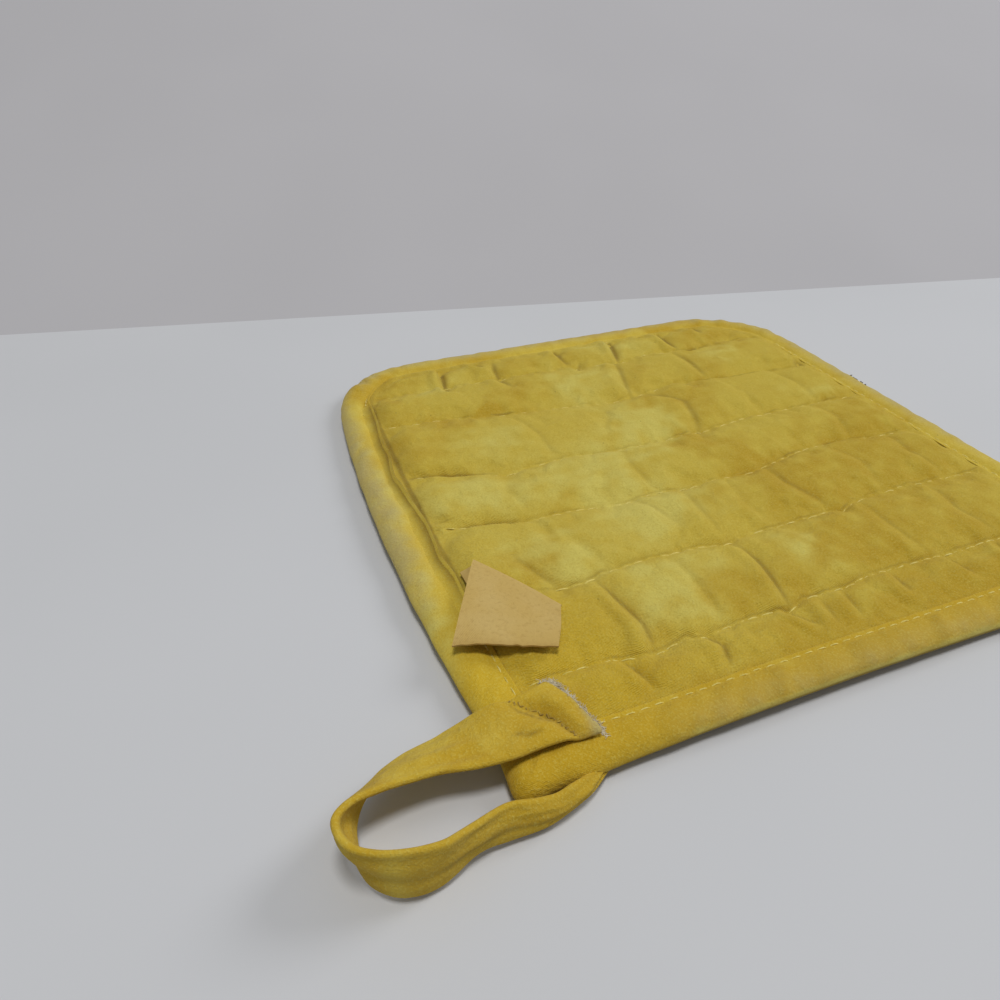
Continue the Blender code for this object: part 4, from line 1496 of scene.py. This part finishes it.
@dataclass
class HangingLoop:
    """The tape's free end: a flat folded strip carried round and sewn down on the corner."""

    thickness: float = 1.5
    start_thickness: float = 0.5
    thickening: int = 16
    steps: int = 8
    # The tape's width for its weave and wrinkles, and the steps over which wrinkles grow.
    tape_width: float = 13.0
    wrinkling: int = 12
    # The folded edge's groove along the strip: depth, place and width.
    edge_groove: Point = (0.10, 0.12, 0.03)
    # How high the wrinkles, the small lumps and the runnels along the strip stand.
    wrinkle_rises: Point = (0.28, 0.07, 0.60)
    runnel_stretch: float = 0.22
    # Only the layer above this height, to the right of this x, is sewn down; each over a reach.
    sewn_above: Point = (5.9, 1.2)
    sewn_past: Point = (-1.0, 5.0)
    # How dark the painted shade along the sewn lines is.
    sewn_shade: float = 0.85
    # Lower outer edge, upper inner edge and outward bow at each station, from the near edge,
    # round the tip, to the cut end.
    stations: tuple = (
        ((21.0, 1.6, 1.2), (20.6, 2.4, 2.2), 0.2),
        ((17.2, -0.2, 1.0), (16.6, 1.0, 3.1), 0.5),
        ((13.8, -1.8, 1.0), (12.6, -0.9, 4.3), 0.8),
        ((10.7, -3.1, 0.9), (9.5, -2.1, 5.3), 0.9),
        ((7.4, -4.1, 0.8), (6.5, -2.9, 5.5), 0.9),
        ((3.1, -5.3, 0.9), (2.3, -2.8, 6.2), 0.9),
        ((-3.4, -5.4, 1.0), (-3.0, -2.6, 7.6), 0.6),
        ((-9.3, -5.5, 1.4), (-9.2, -4.9, 9.2), 0.2),
        ((-16.8, -8.4, 0.9), (-15.6, -7.1, 11.3), 0.2),
        ((-22.4, -7.9, 0.8), (-21.6, -7.0, 12.2), 0.2),
        ((-26.2, -4.9, 1.0), (-26.6, -5.6, 12.4), 0.0),
        ((-27.8, -1.0, 1.3), (-29.6, -3.4, 12.4), 0.0),
        ((-28.0, 2.4, 1.7), (-30.8, -0.4, 12.4), 0.0),
        ((-27.2, 6.4, 2.1), (-30.4, 2.4, 12.2), 0.0),
        ((-25.0, 10.2, 2.6), (-27.6, 4.4, 11.6), 0.0),
        ((-21.0, 13.6, 2.8), (-22.8, 5.5, 10.5), 0.2),
        ((-16.0, 15.8, 2.7), (-17.6, 6.1, 9.5), 0.4),
        ((-10.5, 17.0, 3.0), (-11.8, 5.9, 8.8), 0.5),
        ((-4.8, 17.7, 4.8), (-5.5, 4.6, 8.5), 0.4),
        ((0.8, 17.6, 7.3), (0.2, 4.1, 8.4), 0.2),
        ((6.5, 17.4, 7.6), (6.2, 4.4, 8.3), 0.1),
        ((10.8, 18.4, 7.3), (12.4, 4.6, 7.9), 0.0),
        ((14.0, 19.4, 7.0), (19.3, 4.2, 7.1), 0.0),
    )
    # The zig-zag's path, and every line that the tape is pinched along: path, width and depth.
    sewn_path: Line = (
        (5.4, 16.8), (7.0, 14.9), (9.8, 12.0), (12.0, 9.4), (13.2, 6.6), (14.6, 4.8), (17.2, 3.4),
    )
    sewn_lines: tuple = (
        (sewn_path, 1.2, 1.5),
        (((4.4, 17.4), (5.9, 13.8), (7.9, 11.5), (10.3, 9.8), (11.6, 8.8)), 1.1, 0.6),
        (((2.0, 9.0), (5.0, 7.6), (8.6, 7.2)), 1.4, 0.35),
    )
    # Where the tape puffs up: plan x and y, reach and rise.
    puffs: tuple = (
        (14.6, 13.6, 4.4, 1.2), (17.0, 8.2, 3.6, 0.9), (7.4, 8.6, 3.4, 0.5), (2.6, 12.0, 4.0, 0.4),
    )
    # Painted shade in bands along the near arm: the stations they span, then place, width and
    # strength.
    shaded_stations: Point = (14.0, 82.0)
    shaded_bands: tuple = ((0.44, 0.14, 0.62), (0.82, 0.05, 0.45), (0.70, 0.22, 0.15))
    # Where the strip's points lie across it, as shares of its width.
    across: Point = (
        0.0, 0.02, 0.07, 0.14, 0.22, 0.30, 0.38, 0.46, 0.54, 0.62, 0.70, 0.78, 0.86, 0.93, 0.98,
        1.0,
    )
    wrinkles: Unevenness = Unevenness(seed=31, pitch=9.0)
    lumps: Unevenness = Unevenness(seed=32, pitch=3.6)
    runnels: Unevenness = Unevenness(seed=33, pitch=4.6)

    def build(self) -> bpy.types.Object:
        """Model the loop as one strip with rounded folds.

        Returns:
            The finished loop.
        """
        rows = np.array([(*outer, *inner, bow) for outer, inner, bow in self.stations])
        curve = curve_through(rows, self.steps)
        outer, inner, bows = curve[:, :3], curve[:, 3:6], curve[:, 6]
        middle = (outer + inner) / 2
        run = np.gradient(middle, axis=0)
        run /= np.linalg.norm(run, axis=1)[:, None]
        steps = np.linalg.norm(np.diff(middle, axis=0), axis=1)
        runs = np.concatenate([[0.0], np.cumsum(steps), [0.0]])
        shares = np.array(self.across)
        sections = []
        groove, groove_place, groove_width = self.edge_groove
        broad, small, long = self.wrinkle_rises
        for index, bow in enumerate(bows):
            width = inner[index] - outer[index]
            normal = np.cross(width, run[index])
            normal /= np.linalg.norm(normal)
            grown = float(eased(np.array(index / self.thickening)))
            half = (self.start_thickness + (self.thickness - self.start_thickness) * grown) / 2
            span = np.linalg.norm(width)
            from_edge = np.minimum(shares, 1 - shares) * span
            rounded = np.sqrt(np.clip(1.0 - (1.0 - from_edge / half) ** 2, 0, 1))
            rounded = np.where(from_edge > half, 1.0, rounded)
            fold = groove * bell(shares - groove_place, groove_width)
            places = np.full(len(shares), runs[index])
            across = shares * self.tape_width
            wrinkle = broad * self.wrinkles(places, shares * 9.0)
            wrinkle = wrinkle + small * self.lumps(places, across)
            wrinkle += long * self.runnels(places * self.runnel_stretch, across)
            wrinkle *= fading(shares, 0.05, 0.7) * min(1.0, index / self.wrinkling)
            arch = bow * 4.0 * shares * (1.0 - shares) + wrinkle
            front = arch + half * rounded - fold
            back = arch - half * rounded
            upper = outer[index] + shares[:, None] * width + front[:, None] * normal
            lower = outer[index] + shares[:, None] * width + back[:, None] * normal
            sections.append(np.vstack([upper, lower[-2:0:-1]]))
        sections = np.array(sections)
        shaped = sections.reshape(-1, 3)
        folds = self.gather(shaped)
        band = np.zeros(sections.shape[:2])
        arm = hump(np.arange(len(sections)), *self.shaded_stations) ** 0.5
        for share, width, strength in self.shaded_bands:
            band[:, : len(shares)] += strength * arm[:, None] * bell(shares - share, width)
        folds = np.maximum(folds, band.ravel())
        width = self.tape_width
        back_again = width + (1.0 - shares[-2:0:-1]) * width
        offsets = np.concatenate([shares * width, back_again, [2 * width]])
        strip = swept(shaped.reshape(sections.shape), False, offsets, runs)
        # Painted shade: along the sewn lines and in bands on the near arm.
        strip.marks["painted_shade"] = folds
        piece = strip.build("corner_loop")
        subdivide(piece)
        face_outwards(piece)
        return piece

    def gather(self, points: np.ndarray) -> np.ndarray:
        """Press the strip down along its sewn lines and let it puff up between them.

        Args:
            points: The strip's points, which are moved.

        Returns:
            The strength of the painted shade along the sewn lines, 0 to about 1.
        """
        x, y, z = points.T
        outward = eased((z - self.sewn_above[0]) / self.sewn_above[1])
        sewn = eased((x - self.sewn_past[0]) / self.sewn_past[1]) * outward
        folds = np.zeros(len(points))
        for line, width, depth in self.sewn_lines:
            distance, place, _ = along_line(x, y, line)
            ends = fading(place, 0.04, 0.5)
            points[:, 2] -= depth * ends * sewn * bell(distance, width)
            # Painted shade in the pinched fold along each sewn line.
            shade = self.sewn_shade * ends * sewn * bell(distance, 0.45 * width)
            folds = np.maximum(folds, shade)
        for middle_x, middle_y, reach, rise in self.puffs:
            points[:, 2] += rise * sewn * bell(np.hypot(x - middle_x, y - middle_y), reach)
        return folds


@dataclass
class FoldedLabel:
    """The blank label: a strip caught in the seam and folded back, its free end lifted."""

    thickness: float = 0.42
    rows: int = 22
    steps: int = 6
    fold_bulge: float = 0.5
    free_end_lift: float = 0.6
    width: float = 26.0
    rippling: float = 0.18
    nibbling: float = 0.12
    fold_bulge_way: Point = (0.87, 0.49)
    left_side: tuple[Point, ...] = (
        (9.2, 56.4, 6.7), (11.4, 57.0, 6.9), (12.6, 57.4, 7.2), (13.1, 57.6, 7.9),
        (12.2, 56.6, 8.5), (6.4, 46.0, 8.6), (-0.2, 34.2, 7.9),
    )
    right_side: tuple[Point, ...] = (
        (9.6, 42.6, 6.7), (17.4, 39.6, 7.5), (24.6, 36.8, 7.6), (25.4, 36.4, 8.2),
        (25.0, 35.6, 8.8), (22.6, 30.4, 9.0), (19.4, 24.8, 8.9),
    )
    ripple: Unevenness = Unevenness(seed=41, pitch=14.0)
    nibbled: Unevenness = Unevenness(seed=42, pitch=2.2)

    def build(self) -> bpy.types.Object:
        """Model the label as one thin folded strip.

        Returns:
            The finished label.
        """
        left = curve_through(np.array(self.left_side), self.steps)
        right = curve_through(np.array(self.right_side), self.steps)
        fold = 3 * self.steps
        count = len(left)
        steps = np.linalg.norm(np.diff((left + right) / 2, axis=0), axis=1)
        runs = np.concatenate([[0.0], np.cumsum(steps)])
        points, weave = [], []
        for row in range(self.rows):
            share = row / (self.rows - 1)
            arch = math.sin(math.pi * share)
            line = left + (right - left) * share
            near_fold = np.clip(1.0 - np.abs(np.arange(count) - fold) / (2 * self.steps), 0.0, 1.0)
            line[:, :2] += self.fold_bulge * arch * near_fold[:, None] * self.fold_bulge_way
            free = eased((np.arange(count) - fold) / (count - 1 - fold))
            ripple = self.rippling * free * self.ripple(line[:, 0], line[:, 1])
            line[:, 2] += self.free_end_lift * arch * free**2 + ripple
            cut = self.nibbled(np.array(share * self.width), np.array(0.0))
            line[-1, :2] += self.nibbling * cut * (left[-1, :2] - left[-2, :2])
            points += line.tolist()
            weave += [(run, share * self.width) for run in runs]
        faces = []
        for row in range(self.rows - 1):
            for index in range(count - 1):
                corner = row * count + index
                faces.append((corner, corner + 1, corner + count + 1, corner + count))
        strip = Surface(np.array(points), faces, weave=np.array(weave))
        place_along = np.tile(np.arange(count), self.rows)
        # Painted shade along the edge of the lifted free end.
        strip.marks["painted_shade"] = 0.5 * bell(place_along - (count - 1), 0.8)
        piece = strip.build("folded_label")
        select_only(piece)
        cloth = piece.modifiers.new("cloth thickness", "SOLIDIFY")
        cloth.thickness = self.thickness * MM
        cloth.offset = 0.0
        cloth.use_even_offset = False
        bpy.ops.object.modifier_apply(modifier=cloth.name)
        face_outwards(piece)
        bpy.ops.object.shade_smooth_by_angle(angle=math.radians(50.0))
        return piece


# ---------------------------------------------------------------- sewing


@dataclass
class Stitching:
    """Stitches of one thread: a spindle modelled once and copied to each place."""

    name: str
    girth: float = 0.42
    segments: int = 6
    rings: int = 5
    sinking: float = 0.30

    def spindle(self) -> tuple[np.ndarray, list[tuple[int, ...]]]:
        """Model one stitch of unit length along x.

        Returns:
            Its points and faces.
        """
        bpy.ops.object.select_all(action="DESELECT")
        lying = (0.0, math.pi / 2, 0.0)
        bpy.ops.mesh.primitive_uv_sphere_add(
            segments=self.segments, ring_count=self.rings, radius=0.5, rotation=lying
        )
        stitch = bpy.context.object
        bpy.ops.object.transform_apply(location=False, rotation=True, scale=False)
        bpy.ops.object.mode_set(mode="EDIT")
        bpy.ops.mesh.select_all(action="SELECT")
        bpy.ops.transform.resize(value=(1.0, 0.9, 0.8))
        bpy.ops.object.mode_set(mode="OBJECT")
        points = np.array([vertex.co for vertex in stitch.data.vertices])
        faces = [tuple(face.vertices) for face in stitch.data.polygons]
        bpy.data.objects.remove(stitch)
        return in_order(points, faces)

    def sew(self, places: list[tuple[np.ndarray, np.ndarray, np.ndarray]]) -> bpy.types.Object:
        """Copy the stitch to each place and gather the copies in one piece.

        Args:
            places: For each stitch its start, its end and the cloth's outward direction there.

        Returns:
            The finished stitches.
        """
        points, faces = self.spindle()
        all_points, all_faces = [], []
        for index, (start, end, outward) in enumerate(places):
            along = end - start
            length = np.linalg.norm(along)
            along = along / length
            side = np.cross(outward, along)
            side /= np.linalg.norm(side)
            up = np.cross(along, side)
            sunk = self.sinking * (2.0 * points[:, 0]) ** 2
            shaped = (start + end) / 2 + points[:, :1] * length * along
            shaped = shaped + points[:, 1:2] * self.girth * side
            shaped = shaped + (points[:, 2] * self.girth - sunk)[:, None] * up
            offset = index * len(points)
            all_points.append(shaped)
            all_faces += [tuple(corner + offset for corner in face) for face in faces]
        piece = Surface(np.vstack(all_points), all_faces).build(self.name)
        face_outwards(piece)
        return piece


class Ground:
    """Finds the height of the dressed pieces' upper or lower surface at plan points."""

    def __init__(self, pieces: list[bpy.types.Object]) -> None:
        """Take the pieces that threads lie on."""
        bpy.context.view_layer.update()
        self.pieces = pieces

    def find(self, x: float, y: float, upwards: bool = True) -> tuple[float, np.ndarray] | None:
        """Find the surface.

        Args:
            x: Plan x.
            y: Plan y.
            upwards: Whether the upper surface is wanted, or the one that faces the table.

        Returns:
            The height in millimetres and the outward direction, or None past the cloth.
        """
        start = Vector((*PLAN.metres_at(x, y)[:2], 0.05 if upwards else -0.05))
        down = Vector((0.0, 0.0, -1.0 if upwards else 1.0))
        best = None
        for piece in self.pieces:
            hit, place, normal, _ = piece.ray_cast(start, down)
            if hit and (best is None or (place.z > best[0]) == upwards):
                best = (place.z, normal)
        if best is None:
            return None
        return best[0] / MM, np.array(best[1])


@dataclass
class Sewing:
    """Every seam that shows: channels, binding and the loop's end."""

    pad: QuiltedPad
    binding: BiasBinding
    loop: HangingLoop
    ground: Ground
    stitch_share: float = 0.98
    # How far each line of channel stitches stands out of the cloth, from the near line on.
    lifts: Point = (0.17, 0.15, 0.13, 0.10, 0.05, 0.02)
    # How unevenly each seam is sewn, in millimetres.
    channel_jitter: float = 0.14
    edge_jitter: float = 0.06
    tail_jitter: float = 0.22
    channel_shift: float = 0.12
    edge_spacing: float = 1.7
    edge_stretch: Point = (1.5, 1.8)
    edge_shortest: float = 0.8
    edge_lift: float = 0.12
    edge_lift_far: float = -0.20
    # No stitches show under the lifted left edge, over this y, nor above this height.
    hidden_span: Point = (50.0, 152.0)
    highest: float = 7.2
    tail_swing: float = 0.40
    tail_lift: float = 0.08

    def on_surface(
        self, start: Point, end: Point, lift: float, upwards: bool = True
    ) -> tuple | None:
        """Lay one stitch on the surface between two plan points.

        Args:
            start: Where the stitch starts.
            end: Where it ends.
            lift: How far it stands out of the cloth.
            upwards: Whether it lies on the upper surface.

        Returns:
            Its ends and the outward direction, or None past the cloth.
        """
        ends = []
        for x, y in (start, end):
            found = self.ground.find(x, y, upwards)
            if found is None:
                return None
            ends.append((np.array([x, y, found[0]]) + lift * found[1], found[1]))
        return ends[0][0], ends[1][0], (ends[0][1] + ends[1][1]) / 2

    def channels(self, upwards: bool) -> bpy.types.Object:
        """Sew the lines of stitches across one face.

        Args:
            upwards: Whether that is the upper face.

        Returns:
            The finished stitches.
        """
        source = np.random.default_rng(7)
        places = []
        for holes, lift in zip(self.pad.holes(), self.lifts):
            for start, end in zip(holes, holes[1:]):
                share = self.stitch_share * source.uniform(0.85, 1.1)
                middle, half = (start + end) / 2, (end - start) / 2 * share
                jitter = source.normal(0.0, self.channel_jitter, 2)
                middle = middle + jitter - (0.0, self.channel_shift)
                stitch = self.on_surface(middle - half, middle + half, lift, upwards)
                if stitch is not None:
                    places.append(stitch)
        name = "channel_stitches" if upwards else "channel_stitches_below"
        return Stitching(name, girth=0.42).sew(places)

    def edge(self) -> bpy.types.Object:
        """Sew the binding down all round, along its upper edge."""
        source = np.random.default_rng(8)
        stations = PLAN.stations(self.edge_spacing)
        places = []
        hidden_from, hidden_to = self.hidden_span
        for index in range(0, len(stations) - 1, 2):
            start = self.binding.seam_point(*stations[index])
            end = self.binding.seam_point(*stations[index + 1])
            under_lip = stations[index][0] == 6 and hidden_from < start[1] < hidden_to
            if under_lip or math.dist(start, end) < self.edge_shortest:
                continue
            middle = (start + end) / 2 + source.normal(0.0, self.edge_jitter, 3) * (1, 1, 0)
            half = (end - start) / 2 * source.uniform(*self.edge_stretch)
            lift = self.edge_lift_far if stations[index][0] in (3, 4, 5) else self.edge_lift
            stitch = self.on_surface((middle - half)[:2], (middle + half)[:2], lift)
            if stitch is not None and max(stitch[0][2], stitch[1][2]) < self.highest:
                places.append(stitch)
        return Stitching("binding_stitches", girth=0.36).sew(places)

    def tail(self) -> bpy.types.Object:
        """Sew the loop's end down with a line of short, uneven zig-zag stitches."""
        source = np.random.default_rng(9)
        curve = curve_through(np.array(self.loop.sewn_path), 4)
        places = []
        for index, (start, end) in enumerate(zip(curve, curve[1:])):
            along = end - start
            side = np.array([-along[1], along[0]]) / np.linalg.norm(along)
            swing = self.tail_swing * (1 if index % 2 else -1)
            first = start + side * swing + source.normal(0.0, self.tail_jitter, 2)
            second = end - side * swing + source.normal(0.0, self.tail_jitter, 2)
            stitch = self.on_surface(first, second, self.tail_lift)
            if stitch is not None:
                places.append(stitch)
        return Stitching("loop_stitches", girth=0.34).sew(places)


@dataclass
class LooseThreads:
    """Loose thread ends that stick out of a cut or worn edge."""

    name: str
    radius: float
    roots: Line
    count: int
    out: Point
    length: tuple[float, float]
    spread: float
    seed: int
    height: float | None = None
    curl: float = 0.5
    steps: int = 5
    scatter: float = 0.25
    tapering: float = 0.55

    def build(self, ground: Ground) -> bpy.types.Object:
        """Model the threads as fine tubes that start on the edge and curl outwards.

        Args:
            ground: The surfaces that the threads lie on.

        Returns:
            The finished threads as one mesh.
        """
        source = np.random.default_rng(self.seed)
        roots = np.array(self.roots)
        places = np.linspace(0, 1, len(roots))
        curve = bpy.data.curves.new(self.name, "CURVE")
        curve.dimensions = "3D"
        curve.bevel_depth = self.radius * MM
        curve.bevel_resolution = 1
        curve.use_fill_caps = True
        for _ in range(self.count):
            share = source.uniform(0, 1)
            x = float(np.interp(share, places, roots[:, 0])) + source.normal(0, self.scatter)
            y = float(np.interp(share, places, roots[:, 1])) + source.normal(0, self.scatter)
            found = ground.find(x, y)
            height = self.height if self.height is not None else (found[0] if found else 6.0)
            point = np.array([x, y, height - 0.1])
            heading = np.array(self.out, float) + source.normal(0, self.spread, 3)
            heading[2] = abs(heading[2]) * 0.6
            heading /= np.linalg.norm(heading)
            stride = source.uniform(*self.length) / self.steps
            path = [point]
            for _ in range(self.steps):
                heading = heading + source.normal(0, self.curl, 3) * (1, 1, 0.5)
                heading /= np.linalg.norm(heading)
                point = point + heading * stride
                below = ground.find(point[0], point[1])
                floor = (below[0] if below else 0.0) + self.radius
                point[2] = max(point[2], floor)
                path.append(point.copy())
            spline = curve.splines.new("POLY")
            spline.points.add(len(path) - 1)
            for index, place in enumerate(PLAN.to_metres(np.array(path))):
                spline.points[index].co = (*place, 1.0)
                spline.points[index].radius = 1.0 - self.tapering * index / self.steps
        select_only(placed(self.name, curve))
        bpy.ops.object.convert(target="MESH")
        threads = bpy.context.object
        threads.data.shade_smooth()
        return threads


# ---------------------------------------------------------------- studio


@dataclass(frozen=True)
class SoftLight:
    """A round soft light: its place in metres, its size and power, aimed at the pot holder."""

    name: str
    place: Point
    size: float
    power: float
    colour: tuple[float, float, float]

    def hang(self) -> None:
        """Add the light to the scene."""
        data = bpy.data.lights.new(self.name, "AREA")
        data.shape = "DISK"
        data.size = self.size
        data.energy = self.power
        data.color = self.colour
        lamp = placed(self.name, data)
        lamp.location = self.place
        lamp.rotation_mode = "QUATERNION"
        lamp.rotation_quaternion = (-Vector(self.place)).to_track_quat("-Z", "Y")


@dataclass(frozen=True)
class Studio:
    """A plain pale floor and backdrop, soft lights and the photo's camera."""

    floor_tone: tuple = tone(0.628, 0.637, 0.657)
    backdrop_tone: tuple = tone(0.530, 0.522, 0.540)
    floor_size: float = 5.0
    cloud_size: float = 0.15
    cloud_shade: float = 0.94
    backdrop_slope: float = 25.0
    backdrop_line: Line = ((-66.1, 257.4), (258.5, 186.3))
    sky: tuple = tone(0.94, 0.965, 1.0)
    sky_strength: float = 0.24
    lights: tuple[SoftLight, ...] = (
        SoftLight("overhead light", (-0.11, -0.23, 1.60), 0.40, 11.4, (1.0, 0.985, 0.96)),
        SoftLight("window on the right", (2.00, 0.18, 1.38), 1.10, 19.0, (0.97, 0.98, 1.0)),
    )
    camera_place: Point = (-0.11768, -0.15730, 0.12200)
    heading: tuple[float, float] = (0.3692, 0.9293)
    pitch: float = 35.4
    roll: float = 0.2
    lens: float = 27.216

    def plane(self, name: str, pale: tuple, roughness: float) -> bpy.types.Object:
        """Add a large plain plane through the origin.

        Args:
            name: The plane's name.
            pale: Its colour.
            roughness: Its roughness.

        Returns:
            The plane, facing up.
        """
        bpy.ops.object.select_all(action="DESELECT")
        bpy.ops.mesh.primitive_plane_add(size=self.floor_size, location=(0.0, 0.0, 0.0))
        plane = bpy.context.object
        plane.name = name
        sheet = NodeSheet(name)
        cloud = sheet.noise(sheet.place(), self.cloud_size)
        darker = tone(*(self.cloud_shade * part for part in pale[:3]))
        colour = sheet.blend(cloud.over(0.3, 0.7) * 0.5, pale, darker)
        sheet.fill(
            sheet.shader, {"Base Color": colour, "Roughness": roughness, "Specular IOR Level": 0.15}
        )
        plane.data.materials.append(sheet.material)
        return plane

    def backdrop(self) -> bpy.types.Object:
        """Lean a plain darker board back behind the pot holder, from where the pale floor ends.

        Returns:
            The board.
        """
        board = self.plane("backdrop", self.backdrop_tone, 0.85)
        start, end = (Vector(PLAN.metres_at(*point)) for point in self.backdrop_line)
        along = (end - start).normalized()
        back = Vector((0.0, 0.0, 1.0)).cross(along)
        back.z = math.tan(math.radians(self.backdrop_slope))
        back.normalize()
        turn = Matrix((along, back, along.cross(back))).transposed().to_4x4()
        turn.translation = (start + end) / 2 + back * self.floor_size / 2
        board.data.transform(turn)
        return board

    def camera(self) -> None:
        """Set the camera at the photo's viewing angle."""
        data = bpy.data.cameras.new("photo view")
        data.sensor_width = 36.0
        data.lens = self.lens
        data.clip_start = 0.001
        camera = placed("photo view", data)
        heading = Vector((*self.heading, 0.0)).normalized()
        pitch, roll = math.radians(self.pitch), math.radians(self.roll)
        forward = heading * math.cos(pitch) + Vector((0.0, 0.0, -math.sin(pitch)))
        right = Vector((heading.y, -heading.x, 0.0))
        up = right.cross(forward)
        rolled_right = right * math.cos(roll) + up * math.sin(roll)
        rolled_up = up * math.cos(roll) - right * math.sin(roll)
        turn = Matrix((rolled_right, rolled_up, -forward)).transposed().to_4x4()
        turn.translation = Vector(self.camera_place)
        camera.matrix_world = turn
        bpy.context.scene.camera = camera

    def set_up(self) -> None:
        """Build the floor, the backdrop, the lights and the camera."""
        self.plane("floor", self.floor_tone, 0.75)
        self.backdrop()
        world = bpy.context.scene.world or bpy.data.worlds.new("soft sky")
        bpy.context.scene.world = world
        world.use_nodes = True
        sky = world.node_tree.nodes["Background"]
        sky.inputs["Color"].default_value = self.sky
        sky.inputs["Strength"].default_value = self.sky_strength
        for light in self.lights:
            light.hang()
        self.camera()
        bpy.context.scene.view_settings.view_transform = "Standard"


# ---------------------------------------------------------------- the whole


def dress(piece: bpy.types.Object, cloth: Cloth, finish: bpy.types.Material, *nodes: str) -> None:
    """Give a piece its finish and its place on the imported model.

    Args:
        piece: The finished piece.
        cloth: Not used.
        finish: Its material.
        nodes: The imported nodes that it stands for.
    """
    piece.data.materials.clear()
    piece.data.materials.append(finish)
    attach(piece, "root")
    if nodes:
        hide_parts(*nodes)
    LOG.info("%s: %d faces", piece.name, len(piece.data.polygons))


def main() -> None:
    """Build the pot holder's looks and the studio round it."""
    logging.basicConfig(level=logging.INFO)
    Studio().set_up()
    wear = Wear()
    quilt, edge, loop = QuiltedPad(), BiasBinding(), HangingLoop()
    face_cotton = YellowCotton("faded yellow cotton", turned=0.12).material()
    bias = math.radians(45.0)
    tape_cotton = YellowCotton("yellow bias tape", turned=bias, contrast=0.06).material()

    pad = quilt.build()
    wear.dress(pad, greyed=0.0)
    dress(pad, Cloth.FACE, face_cotton, "pad")
    binding = edge.build()
    wear.dress(binding)
    dress(binding, Cloth.TAPE, tape_cotton, "binding")
    hanging_loop = loop.build()
    cut_end = ((13.9, 20.6), (15.4, 18.4), (17.0, 13.8), (18.4, 9.6), (19.4, 5.0))
    wear.dress(hanging_loop, greyed=0.5, soil=0.14, cut=cut_end)
    dress(hanging_loop, Cloth.LOOP, tape_cotton, "hanging_loop")
    label = FoldedLabel().build()
    dress(label, Cloth.LABEL, TanCotton("tan cotton").material(), "label")

    pale_thread, brown_thread, dark_thread, frayed = (
        SewingThread(name, tone(*light), tone(*dark)).material()
        for name, light, dark in (
            ("pale thread", (0.80, 0.70, 0.22), (0.64, 0.51, 0.09)),
            ("brown thread", (0.52, 0.36, 0.05), (0.26, 0.16, 0.02)),
            ("dark thread", (0.10, 0.06, 0.02), (0.04, 0.025, 0.010)),
            ("frayed cotton", (0.74, 0.68, 0.52), (0.56, 0.47, 0.28)),
        )
    )
    sewing = Sewing(quilt, edge, loop, Ground([pad]))
    top_stitches = sewing.channels(True)
    dress(top_stitches, Cloth.FACE, pale_thread)
    lower_stitches = sewing.channels(False)
    dress(lower_stitches, Cloth.FACE, pale_thread)
    sewing.ground = Ground([binding])
    edge_stitches = sewing.edge()
    dress(edge_stitches, Cloth.TAPE, pale_thread)
    sewing.ground = Ground([hanging_loop])
    loop_stitches = sewing.tail()
    dress(loop_stitches, Cloth.LOOP, brown_thread)
    everything = Ground([pad, binding, hanging_loop])
    fray = LooseThreads(
        "loop_fray", 0.09, cut_end, 900, (0.80, 0.26, 0.10), (0.5, 1.9), 0.90, seed=51, curl=0.9
    ).build(everything)
    dress(fray, Cloth.LOOP, frayed)
    worn_edge = ((172.4, 110.5), (172.2, 105.0), (172.4, 100.5))
    worn = LooseThreads(
        "edge_fray", 0.25, worn_edge, 12, (0.9, 0.1, 0.2), (0.3, 0.8), 0.6, seed=52, height=4.0
    ).build(everything)
    dress(worn, Cloth.TAPE, dark_thread)


if __name__ == "__main__":
    main()
